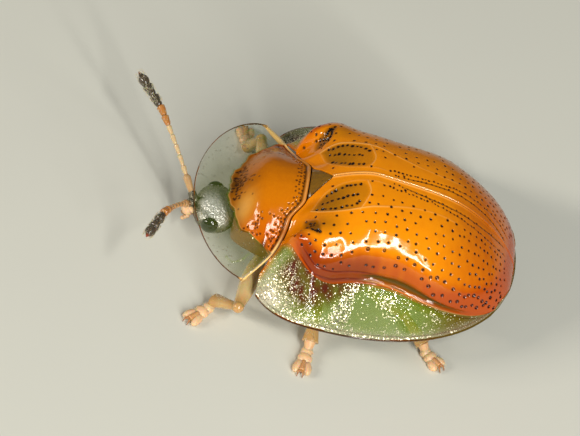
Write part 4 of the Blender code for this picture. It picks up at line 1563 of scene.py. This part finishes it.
@dataclass
class Underside:
    """Thorax and abdomen under the shell, with the plates of the belly.

    Attributes:
        columns: grid columns from side to side.
        share: half width as a share of the dome's.
    """

    columns: int = 90
    share: float = 0.95
    belly: float = 0.20
    edge: float = 0.10

    def half_width(self, y: Array) -> Array:
        """Half width: the thorax widens from its front, the abdomen ends round."""
        grow = smoothstep((y + 2.02) / 2.47)
        thorax = blend(1.42, self.share * SHELL.flank_x(np.array(0.45)), grow)
        return np.where(y > 0.45, self.share * SHELL.disc_width(y / 0.97), thorax)

    def part(self, start: float, end: float, rows: int, name: str, bands: tuple[float, ...]) -> Skin:
        """One closed part of the body, from start to end.

        The roof follows the inside of the dome, the belly is an ellipse in section, and a step
        stands at each band.

        Args:
            start: front end in y.
            end: rear end in y.
            rows: grid rows.
            name: object name.
            bands: where the belly plates meet, in y.

        Returns:
            The skin, not yet made.
        """
        along = np.sin(np.linspace(0, 0.5, rows) * math.pi)[:, None]
        across = np.sin(np.linspace(-0.5, 0.5, self.columns) * math.pi)[None, :]
        y = blend(start, end, along) + 0 * across
        x = self.half_width(y) * across
        base = SHELL.margin_height(x, y) - 0.30
        roof = SHELL.crest_height(y) - 0.60 - base
        top = base + roof * SHELL.dome(x, y, 0.88) + SHELL.front_rise(x, y)
        hollow = np.sqrt(np.clip(1 - across**2, 0, 1))
        step = np.zeros_like(x)
        seam = np.zeros_like(x)
        for band in bands:
            bent = y - band - 0.10 * across**2
            step = step + 0.020 * smoothstep(bent / 0.05)
            seam = seam + bell(bent, 0.018)
        keel = 0.03 * bell(x, 0.10) - 0.02 * bell(np.abs(x) - 0.16, 0.05)
        low = blend(base, np.minimum(base, 0.0), hollow**0.7)
        under = low - self.edge - self.belly * hollow + step - 0.015 * seam
        under = under - keel * hollow
        under = under + 0.004 * ripple(x, y, 0.09, 20, 23)
        skin = Skin(name, ("pale", "pit"))
        side = smoothstep((np.abs(across) - 0.86) / 0.12) + 0 * x
        skin.slab(
            np.stack([x, y, top], axis=-1),
            np.stack([x, y, under], axis=-1),
            pale=0.7 * side,
            pit=np.clip(seam, 0, 1),
        )
        return skin

    def coxa(self, skin: Skin, hip: Array, knee: Array, radius: float) -> None:
        """Adds a hip joint: a bulb from inside the body out to where the thigh starts."""
        along = unit(knee - hip)
        start = hip - along * 0.36 + np.array([0, 0, 0.24])
        share = np.linspace(0, 1, 12)[:, None]
        path = blend(start, hip + along * 0.02, share)
        size = radius * (0.75 + 0.35 * np.sin(share[:, 0] * math.pi * 0.85))
        skin.tube(path, size, 20)

    def build(self, finish: bpy.types.Material, legs: dict[str, tuple]) -> None:
        """Builds the abdomen, the thorax and the prothorax.

        Args:
            finish: dark horn.
            legs: joints of the legs by name.
        """
        rear = self.part(0.45, 2.66, 130, "abdomen_plates", (0.62, 1.02, 1.38, 1.72, 2.05))
        rear.make([finish], ("abdomen",), "brown_underside")
        middle = self.part(0.47, -2.02, 110, "thorax_plates", (-0.55, -1.55))
        for name, joints in legs.items():
            if not name.startswith("front"):
                self.coxa(middle, np.array(joints[0]), np.array(joints[1]), 0.20)
        middle.make([finish], ("thorax",), "brown_underside")
        front = self.neck()
        for name, joints in legs.items():
            if name.startswith("front"):
                self.coxa(front, np.array(joints[0]), np.array(joints[1]), 0.19)
        front.make([finish], ("prothorax",), "brown_underside")

    def neck(self) -> Skin:
        """The prothorax: a tapered block under the neck shield's disc."""
        along = np.linspace(0, 1, 60)[:, None]
        across = np.sin(np.linspace(-0.5, 0.5, 60) * math.pi)[None, :]
        y = blend(-2.98, -2.05, along) + 0 * across
        half = blend(0.60, 1.10, np.sqrt(along))
        x = half * across
        top = SHIELD.top(x, y) - 0.42
        under = -0.12 - 0.24 * np.sqrt(np.clip(1 - 0.95 * across**2, 0, 1))
        under = under + 0.004 * ripple(x, y, 0.08, 16, 29)
        sides = 0.95 * smoothstep((np.abs(across) - 0.3) / 0.4) + 0 * x
        skin = Skin("prothorax_plates", ("pale", "pit"))
        skin.slab(np.stack([x, y, top], -1), np.stack([x, y, under + 0 * x], -1), pale=sides, pit=0.0)
        return skin


# Head


@dataclass
class Head:
    """Skull, eyes and mouthparts.

    Attributes:
        centre: middle of the skull.
        radii: its reach to the side, forward and up.
    """

    centre: tuple[float, float, float] = (0.0, -3.38, -0.16)
    radii: tuple[float, float, float] = (0.60, 0.47, 0.36)

    def skull(self, finish: bpy.types.Material, feelers: dict[Side, tuple]) -> None:
        """Builds the skull: a ball of rings from neck to face with a brow line and sockets.

        Args:
            finish: dark horn with a metal sheen.
            feelers: joints of the feelers.
        """
        turn = np.linspace(-0.5, 0.5, 74)[1:-1, None] * math.pi
        angle = np.linspace(0, math.tau, 110, endpoint=False)[None, :]
        forward = -np.sin(turn)
        out = np.cos(turn) ** 0.85
        flat = 1 - 0.10 * smoothstep((-forward) * 2 - 0.9)
        x = self.radii[0] * out * np.cos(angle) * flat
        z = self.radii[2] * out * np.sin(angle)
        y = -self.radii[1] * (-forward) + 0 * x
        face = smoothstep((-y / self.radii[1]) * 2 - 0.8)
        groove = bell(x, 0.035) * smoothstep(z / 0.2) * face
        dish = bell(np.hypot(x - 0.2, z - 0.06), 0.13) + bell(np.hypot(x + 0.2, z - 0.06), 0.13)
        relief = -0.025 * groove - 0.03 * dish * face + 0.005 * ripple(x * 1.3, z + y, 0.09, 22, 31)
        grid = np.stack([x, y, z], axis=-1)
        grid = grid + unit(grid) * relief[..., None] + np.array(self.centre)
        dots = np.clip(ripple(x, y + z, 0.07, 20, 37) - 0.9, 0, 1)
        # Partly the skull's silver tone and partly a painted highlight: lighter on the top of the near side, where the
        # glint falls.
        silver_tone_and_painted_glint = smoothstep((z + 0.02) / 0.2) * bell(x - 0.22, 0.34) * smoothstep((y + 0.44) / 0.2)
        skin = Skin("skull", ("silver_tone_and_painted_glint", "pit"))
        marks = {"silver_tone_and_painted_glint": np.clip(silver_tone_and_painted_glint * 0.9, 0, 1), "pit": np.clip(dots + groove, 0, 1)}
        index = skin.sheet(grid, wrap=True, **marks)
        ends = np.array([[0.0, self.radii[1], 0.0], [0.0, -self.radii[1], 0.0]]) + self.centre
        poles = skin.place(ends, pit=0.0)
        for ring, pole in ((index[0], poles[0]), (index[-1], poles[1])):
            skin.face(np.stack([ring, np.roll(ring, -1), np.full(len(ring), pole)], axis=-1))
        for start, club, _tip in feelers.values():
            root, aim = np.array(start), unit(np.array(club) - np.array(start))
            share = np.linspace(0, 1, 10)[:, None]
            path = blend(root - aim * 0.30, root - aim * 0.07, share)
            skin.tube(path, blend(0.11, 0.085, share[:, 0]), 20)
        skin.make([finish], ("head",), "dark_metallic_head")

    def eye(self, side: Side, finish: bpy.types.Material) -> None:
        """Builds one eye: a bulging oval on the side of the skull.

        Args:
            side: which eye.
            finish: black faceted horn.
        """
        skin = Skin("eye_ball_" + side.word)
        skin.blob((side.value * 0.52, -3.44, -0.12), (0.19, 0.13, 0.20), (0, 1, 0), 30, 40)
        skin.make([finish], ("eye_" + side.word,), "black_eye")

    def mouth(self, finish: bpy.types.Material) -> None:
        """Builds the upper lip, the jaws and two pairs of jointed palps."""
        skin = Skin("mouth_plates", ("amber", "dark"))
        skin.blob((0, -3.84, -0.22), (0.13, 0.19, 0.07), (0, 1, -0.4), 16, 24)
        skin.blob((0, -3.93, -0.32), (0.15, 0.17, 0.13), (0, 1, -0.5), 18, 26)
        for side in Side:
            sign = side.value
            skin.blob((sign * 0.09, -3.99, -0.38), (0.09, 0.05, 0.05), (-sign * 0.6, -0.8, -0.2), 12, 16, dark=0.6)
            for out, down, size in ((0.15, -0.36, 0.045), (0.09, -0.42, 0.035)):
                path = np.array([[sign * out, -3.88, down], [sign * (out + 0.04), -3.97, down - 0.06]])
                for number in range(3):
                    start = blend(path[0], path[1], number * 0.5)
                    aim = np.array([sign * 0.25, -0.75, -0.55 + 0.2 * number])
                    skin.blob(start + aim * 0.04, (0.050, size, size), aim, 10, 14, amber=0.25)
        skin.make([finish], ("mouthparts",), "pale_mouth")

    def build(self, finishes: dict[str, bpy.types.Material], feelers: dict[Side, tuple]) -> None:
        """Builds skull, eyes and mouth.

        Args:
            finishes: materials by name.
            feelers: joints of the feelers.
        """
        self.skull(finishes["head"], feelers)
        for side in Side:
            self.eye(side, finishes["eye"])
        self.mouth(finishes["foot"])


@dataclass
class Feelers:
    """The two feelers, each of eleven articles that end in a dark club.

    Attributes:
        joints: root, start of the club and tip of each.
        lengths: each article's share of the whole length.
        radii: each article's radius, in mm.
    """

    joints: dict[Side, tuple] = field(
        default_factory=lambda: {
            Side.LEFT: ((0.20, -3.97, 0.05), (1.42, -4.49, 1.00), (2.27, -4.79, 1.05)),
            Side.RIGHT: ((-0.20, -3.97, 0.05), (-1.65, -4.90, 0.70), (-2.40, -5.52, 0.85)),
        }
    )
    lengths: tuple[float, ...] = (0.11, 0.07, 0.085, 0.085, 0.08, 0.08, 0.085, 0.085, 0.10, 0.10, 0.12)
    radii: tuple[float, ...] = (0.090, 0.062, 0.056, 0.056, 0.058, 0.062, 0.088, 0.098, 0.112, 0.118, 0.112)
    arch: float = 0.06

    def path(self, side: Side, share: Array) -> Array:
        """Points along a feeler: two straight runs, the first bowed up by a sine.

        Args:
            side: which feeler.
            share: places along it, 0 at the root and 1 at the tip.

        Returns:
            The points.
        """
        start, club, tip = (np.array(p) for p in self.joints[side])
        first = np.linalg.norm(club - start)
        second = np.linalg.norm(tip - club)
        bend = first / (first + second)
        low = np.minimum(share / bend, 1)[:, None]
        high = np.clip((share - bend) / (1 - bend), 0, 1)[:, None]
        points = start + (club - start) * low + (tip - club) * high
        points[:, 2] += self.arch * np.sin(math.pi * low[:, 0])
        return points

    def build(self, side: Side, finishes: list[bpy.types.Material]) -> bpy.types.Object:
        """Builds one feeler of separate rounded articles with a fringe of hairs.

        An article widens to the front like a cut cone, with rounded ends; the last one is pointed.

        Args:
            side: which feeler.
            finishes: feeler horn, then pale bristle.

        Returns:
            The object.
        """
        skin = Skin("feeler_" + side.word, ("tan", "dark", "tip"))
        draw = np.random.default_rng(SEED + 50 + side.value)
        edges = np.concatenate([[0.0], np.cumsum(self.lengths)])
        edges = edges / edges[-1]
        for number, radius in enumerate(self.radii):
            share = np.linspace(0.0, 1.0, 22)
            overlap = 0.012 if number else 0.055
            place = blend(edges[number] - overlap, edges[number + 1], share)
            path = self.path(side, place)
            last = number == len(self.radii) - 1
            swell = (0.58 + 0.42 * share) * blend(0.4, 1.0, smoothstep(share / 0.22))
            swell = swell * blend(1.0, 0.55, smoothstep((share - 0.86) / 0.14))
            if last:
                swell = np.sin(math.pi * np.clip(share, 0.03, 0.97) ** 0.75) ** 0.45
                swell = swell * (1 - 0.55 * smoothstep((share - 0.45) / 0.55))
            tan = 1.0 if number in (6, 7) else (0.45 if number == 0 else 0.0)
            near_tan = 0.7 if side is Side.LEFT and number < 6 else tan
            skin.tube(
                path,
                radius * np.maximum(swell, 0.1),
                22,
                tan=max(tan, near_tan),
                dark=0.92 if number >= 8 else 0.0,
                tip=smoothstep((share - 0.75) / 0.2) if last else 0.0,
            )
            self.fringe(skin, side, (edges[number], edges[number + 1]), radius, number, draw)
        return skin.make(finishes, ("antenna_" + side.word,), "tan_feeler")

    def fringe(self, skin: Skin, side: Side, span: tuple, radius: float, number: int, draw) -> None:
        """Adds the hairs of one article, leaning forward along the feeler."""
        count = 95 if number >= 8 else 16
        length = 0.055 if number >= 8 else 0.04
        place = draw.uniform(0.12, 0.95, count)
        root = self.path(side, blend(span[0], span[1], place))
        ahead = unit(self.path(side, np.full(count, span[1])) - self.path(side, np.full(count, span[0])))
        angle = draw.uniform(0, math.tau, count)[:, None]
        out = unit(np.cross(ahead, np.array([0.0, 0.0, 1.0])))
        radial = np.cos(angle) * out + np.sin(angle) * np.cross(out, ahead)
        taper = (1 - 0.5 * np.clip(place - 0.5, 0, 1)) if number == 10 else 1.0
        root = root + radial * (radius * 0.90 * taper * np.ones(count))[:, None]
        lean = unit(radial * 0.55 + ahead)
        tips = root + lean * (length * draw.uniform(0.7, 1.2, count))[:, None]
        skin.hairs(root, tips, 0.0045, slot=1)


# Legs and feet


@dataclass
class Legs:
    """Six legs with padded feet.

    Attributes:
        joints: hip, knee, ankle and toe of each leg, ankle and toe as x and y.
        ankle_z: height of the ankles.
    """

    joints: dict[str, tuple] = field(
        default_factory=lambda: {
            "front_left": ((0.72, -2.24, -0.48), (2.46, -2.57, -0.25), (2.00, -3.02), (2.62, -3.56)),
            "front_right": ((-0.72, -2.24, -0.48), (-2.30, -2.64, -0.25), (-2.46, -2.84), (-3.20, -2.98)),
            "mid_left": ((0.72, -1.05, -0.62), (1.95, -0.92, -0.44), (2.55, -0.93), (3.38, -1.02)),
            "mid_right": ((-0.72, -1.05, -0.62), (-1.95, -0.88, -0.44), (-2.55, -0.78), (-3.38, -0.80)),
            "hind_left": ((0.68, 0.10, -0.62), (1.48, 0.92, -0.46), (1.93, 1.42), (2.38, 1.93)),
            "hind_right": ((-0.68, 0.10, -0.62), (-1.50, 0.96, -0.46), (-2.02, 1.50), (-2.50, 2.04)),
        }
    )
    ankle_z: float = -0.72

    def leg(self, name: str, finishes: list[bpy.types.Material]) -> None:
        """Builds one thigh and shin.

        The thigh is a spindle, the shin widens to the ankle, and a ball fills the knee.

        Args:
            name: which leg.
            finishes: honey horn, then pale bristle.
        """
        hip, knee, ankle, _toe = self.points(name)
        skin = Skin("limb_" + name, ("amber", "dark"))
        share = np.linspace(0, 1, 34)
        thigh = blend(hip, knee, share[:, None])
        spindle = 0.115 + 0.085 * np.sin(math.pi * share**0.85) ** 1.3
        skin.tube(thigh, spindle, 28, amber=0.55 * smoothstep((share - 0.78) / 0.2))
        skin.blob(knee, (0.125, 0.125, 0.125), knee - hip, 16, 22, amber=0.55)
        shin = blend(knee, ankle, share[:, None])
        wedge = np.stack([0.085 + 0.095 * share**1.3, 0.080 + 0.055 * share], axis=-1)
        wedge = wedge * (0.55 + 0.45 * smoothstep(share / 0.12))[:, None]
        skin.tube(shin, wedge, 26, amber=0.42 + 0.1 * np.sin(9 * share), dark=0.25 * smoothstep((share - 0.9) / 0.1))
        self.bristles(skin, knee, ankle, 70, 0.16, name)
        skin.make(finishes, ("leg_" + name,), "honey_leg")

    def bristles(self, skin: Skin, start: Array, end: Array, count: int, radius: float, name: str) -> None:
        """Adds hairs over the outer half of a shin, leaning to the foot."""
        draw = np.random.default_rng(SEED + 70 + len(name) + sum(map(ord, name)))
        place = draw.uniform(0.25, 1.0, count)
        ahead = unit(end - start)
        out = unit(np.cross(ahead, np.array([0.0, 0.0, 1.0])))
        angle = draw.uniform(0, math.tau, count)[:, None]
        radial = np.cos(angle) * out + np.sin(angle) * np.cross(out, ahead)
        size = blend(0.08, radius, place**1.3)
        root = blend(start, end, place[:, None]) + radial * (size * 0.85)[:, None]
        tips = root + unit(radial * 0.6 + ahead) * draw.uniform(0.06, 0.11, count)[:, None]
        skin.hairs(root, tips, 0.005, slot=1)

    def points(self, name: str) -> tuple[Array, Array, Array, Array]:
        """Hip, knee, ankle and toe of a leg as points."""
        hip, knee, ankle, toe = self.joints[name]
        return (
            np.array(hip),
            np.array(knee),
            np.array([*ankle, self.ankle_z]),
            np.array([*toe, self.ankle_z]),
        )

    def foot(self, name: str, finishes: list[bpy.types.Material]) -> None:
        """Builds one foot: two broad pads, a pad of two lobes, a claw joint and two claws.

        Args:
            name: which leg.
            finishes: foot pad, then pale bristle.
        """
        _hip, knee, ankle, toe = self.points(name)
        heading = unit(toe - ankle)
        side = np.array([-heading[1], heading[0], 0.0])
        length = float(np.linalg.norm(toe - ankle))
        size = (length - 0.12) / 0.75
        skin = Skin("padded_foot_" + name, ("amber", "dark"))
        share = np.linspace(0, 1, 12)[:, None]
        wrist = ankle + heading * 0.14 * size
        wrist[2] = FLOOR_Z + 0.14
        path = blend(ankle + (knee - ankle) * 0.03, wrist, share)
        skin.tube(path, blend(0.125, 0.085, share[:, 0]), 20, amber=0.3)
        lobes = (
            (0.17, 0.0, (0.15, 0.125, 0.110)),
            (0.36, 0.0, (0.15, 0.155, 0.105)),
            (0.60, 0.10, (0.20, 0.095, 0.085)),
            (0.60, -0.10, (0.20, 0.095, 0.085)),
        )
        hair_roots, hair_tips = [], []
        draw = np.random.default_rng(SEED + 90 + sum(map(ord, name)))
        for along, sideways, radii in lobes:
            centre = ankle + heading * along * size + side * sideways
            centre[2] = FLOOR_Z + radii[2] * 0.92
            shape = (radii[0] * size, radii[1], radii[2])
            skin.blob(centre, shape, heading + 0.25 * np.sign(sideways) * side, 22, 30)
            angle = draw.uniform(0, math.tau, 60)
            lift = draw.uniform(-0.25, 0.85, 60)
            flat = np.sqrt(1 - lift**2)
            way = (np.cos(angle) * flat)[:, None] * heading * shape[0]
            way = way + (np.sin(angle) * flat)[:, None] * side * shape[1]
            way = way + lift[:, None] * np.array([0, 0, shape[2]])
            hair_roots.append(centre + way * 0.97)
            lean = unit(way) * 0.7 + heading * 0.6
            hair_tips.append(centre + way + lean * draw.uniform(0.025, 0.055, 60)[:, None])
        roots, tips = np.concatenate(hair_roots), np.concatenate(hair_tips)
        tips[:, 2] = np.maximum(tips[:, 2], FLOOR_Z + 0.01)
        skin.hairs(roots, tips, 0.004, slot=1)
        joint_start = ankle + heading * 0.48 * size
        joint_start[2] = FLOOR_Z + 0.14
        joint_end = toe - heading * 0.13
        joint_end[2] = FLOOR_Z + 0.12
        skin.tube(blend(joint_start, joint_end, share), blend(0.045, 0.065, share[:, 0]), 18, amber=0.6)
        for sign in (-1, 1):
            turn = np.linspace(0, 1, 14)[:, None]
            claw = joint_end + heading * 0.12 * turn + side * sign * 0.060 * np.sin(turn * 1.9)
            claw = claw + np.array([0, 0, 1.0]) * (0.02 * np.sin(turn * math.pi) - 0.085 * turn**2)
            skin.tube(claw, blend(0.030, 0.007, turn[:, 0] ** 1.2), 12, dark=0.1 + 0.5 * turn[:, 0], amber=0.8)
        skin.make(finishes, ("foot_" + name,), "peach_foot")

    def build(self, finishes: dict[str, bpy.types.Material]) -> None:
        """Builds all six legs and feet.

        Args:
            finishes: materials by name.
        """
        for name in self.joints:
            self.leg(name, [finishes["leg"], finishes["hair"]])
            self.foot(name, [finishes["foot"], finishes["hair"]])


# Studio


@dataclass
class Studio:
    """Floor, lights and camera.

    Attributes:
        distance: from the camera to the middle of the wing cases, in mm.
        pixels_per_mm: scale of the picture there.
        middle: pixel of the picture at which the drawing frame's origin lies.
        right: the picture's right direction.
        up: the picture's up direction.
        back: the direction from the animal to the camera.
    """

    distance: float = 150.0
    pixels_per_mm: float = 47.787924
    width_px: int = 580
    height_px: int = 436
    middle: tuple[float, float] = (373.78, 239.11)
    right: tuple[float, float, float] = (-0.105, 0.972, 0.210)
    up: tuple[float, float, float] = (-0.735, -0.218, 0.642)
    back: tuple[float, float, float] = (0.670, -0.086, 0.737)
    sensor_mm: float = 36.0

    def camera(self) -> None:
        """Makes the camera, aimed so that the origin falls on its pixel without any shift."""
        right, up, back = (Vector(v).normalized() for v in (self.right, self.up, self.back))
        home = Vector(SHIFT.tolist()) * MM
        spot = home + back * self.distance * MM
        across = (self.width_px / 2 - self.middle[0]) / self.pixels_per_mm
        down = (self.middle[1] - self.height_px / 2) / self.pixels_per_mm
        target = home + (right * across + up * down) * MM
        view = (spot - target).normalized()
        side = up.cross(view).normalized()
        turn = Matrix((side, view.cross(side), view)).transposed()
        data = bpy.data.cameras.new("camera")
        data.sensor_width = self.sensor_mm
        data.lens = self.sensor_mm * self.distance * self.pixels_per_mm / self.width_px
        data.clip_start = 0.01
        data.clip_end = 5.0
        camera = bpy.data.objects.new("camera", data)
        camera.matrix_world = Matrix.Translation(spot) @ turn.to_4x4()
        bpy.context.scene.collection.objects.link(camera)
        bpy.context.scene.camera = camera

    @staticmethod
    def aim(bearing: float, rise: float) -> tuple[float, float, float]:
        """The direction at a bearing from +X towards +Y and a height above level, in degrees."""
        turn, lift = math.radians(bearing), math.radians(rise)
        return (math.cos(turn) * math.cos(lift), math.sin(turn) * math.cos(lift), math.sin(lift))

    def softbox(self, name: str, ends: tuple, distance: float, wide: float, watts: float, hue: str) -> None:
        """Adds a soft light that faces the animal: a strip between two directions.

        Args:
            name: the light's name.
            ends: directions from the animal to the two ends of the strip.
            distance: how far away, in mm.
            wide: width of the strip, in mm; its length is never less.
            watts: power.
            hue: colour as sRGB hex.
        """
        first, last = (Vector(end).normalized() for end in ends)
        way = (first + last).normalized()
        along = first - last
        length = max(along.length * distance, wide)
        along = (along - way * along.dot(way)).normalized() if along.length > 0.01 else way.orthogonal()
        data = bpy.data.lights.new(name, "AREA")
        data.shape = "RECTANGLE"
        data.size, data.size_y = length * MM, wide * MM
        data.energy = watts
        data.color = linear(hue)[:3]
        light = bpy.data.objects.new(name, data)
        turn = Matrix((along, way.cross(along), way)).transposed()
        place = Vector(SHIFT.tolist()) * MM + way * distance * MM
        light.matrix_world = Matrix.Translation(place) @ turn.to_4x4()
        bpy.context.scene.collection.objects.link(light)

    def floor(self) -> None:
        """Adds the plain pale floor as a fine sheet that stays level under the feet."""
        reach = 0.6
        mesh = bpy.data.meshes.new("floor")
        corners = [(-reach, -reach, 0), (reach, -reach, 0), (reach, reach, 0), (-reach, reach, 0)]
        mesh.from_pydata(corners, [], [(0, 1, 2, 3)])
        ground = bpy.data.objects.new("floor", mesh)
        mesh.materials.append(
            Finish("pale_matte_board", "#d9dad0", 0.7, grain_mm=3.0, relief_mm=0.0, tint="#d2d4c8", tint_share=0.4).material()
        )
        bpy.context.scene.collection.objects.link(ground)

    def build(self) -> None:
        """Adds floor, lights, surroundings and camera."""
        self.floor()
        turns = ((33, 16), (17, 26), (16, 36), (18, 48), (28, 62))
        pairs = [*zip(turns, turns[1:]), ((30, 22), (28, 43))]
        for number, (start, end) in enumerate(pairs):
            watts, wide = ((0.025, 5.5), (0.015, 5.5), (0.018, 5.5), (0.025, 5.5), (0.018, 7))[number]
            self.softbox(f"key_{number}", (self.aim(*start), self.aim(*end)), 100, wide, watts, "#fffcf6")
        self.softbox("front", (self.aim(-84, 20), self.aim(-58, 34)), 120, 12, 0.075, "#fff6ea")
        world = bpy.data.worlds.new("studio")
        world.use_nodes = True
        bpy.context.scene.world = world
        sky = world.node_tree.nodes["Background"]
        sky.inputs["Color"].default_value = linear("#dfe6ea")
        sky.inputs["Strength"].default_value = 0.12
        bpy.context.scene.view_settings.view_transform = "Standard"
        self.camera()


def main() -> None:
    """Builds the animal part by part, then the studio."""
    logging.basicConfig(level=logging.INFO, format="%(name)s: %(message)s")
    amber, clear = AMBER_HORN.material(), CLEAR_HORN.material()
    finishes = {
        "head": HEAD_HORN.material(),
        "eye": EYE_HORN.material(),
        "leg": LEG_HORN.material(),
        "foot": FOOT_PAD.material(),
        "hair": PALE_HAIR.material(),
        "feeler": FEELER_HORN.material(),
    }
    wings = WingCases()
    for side in Side:
        wings.build(side, [amber, clear])
    Scutellum().build(OLIVE_HORN.material())
    NeckShield().build([SHIELD_HORN.material(), clear])
    legs = Legs()
    Underside().build(UNDER_HORN.material(), legs.joints)
    feelers = Feelers()
    Head().build(finishes, feelers.joints)
    for side in Side:
        feelers.build(side, [finishes["feeler"], finishes["hair"]])
    legs.build(finishes)
    Studio().build()


if __name__ == "__main__":
    main()
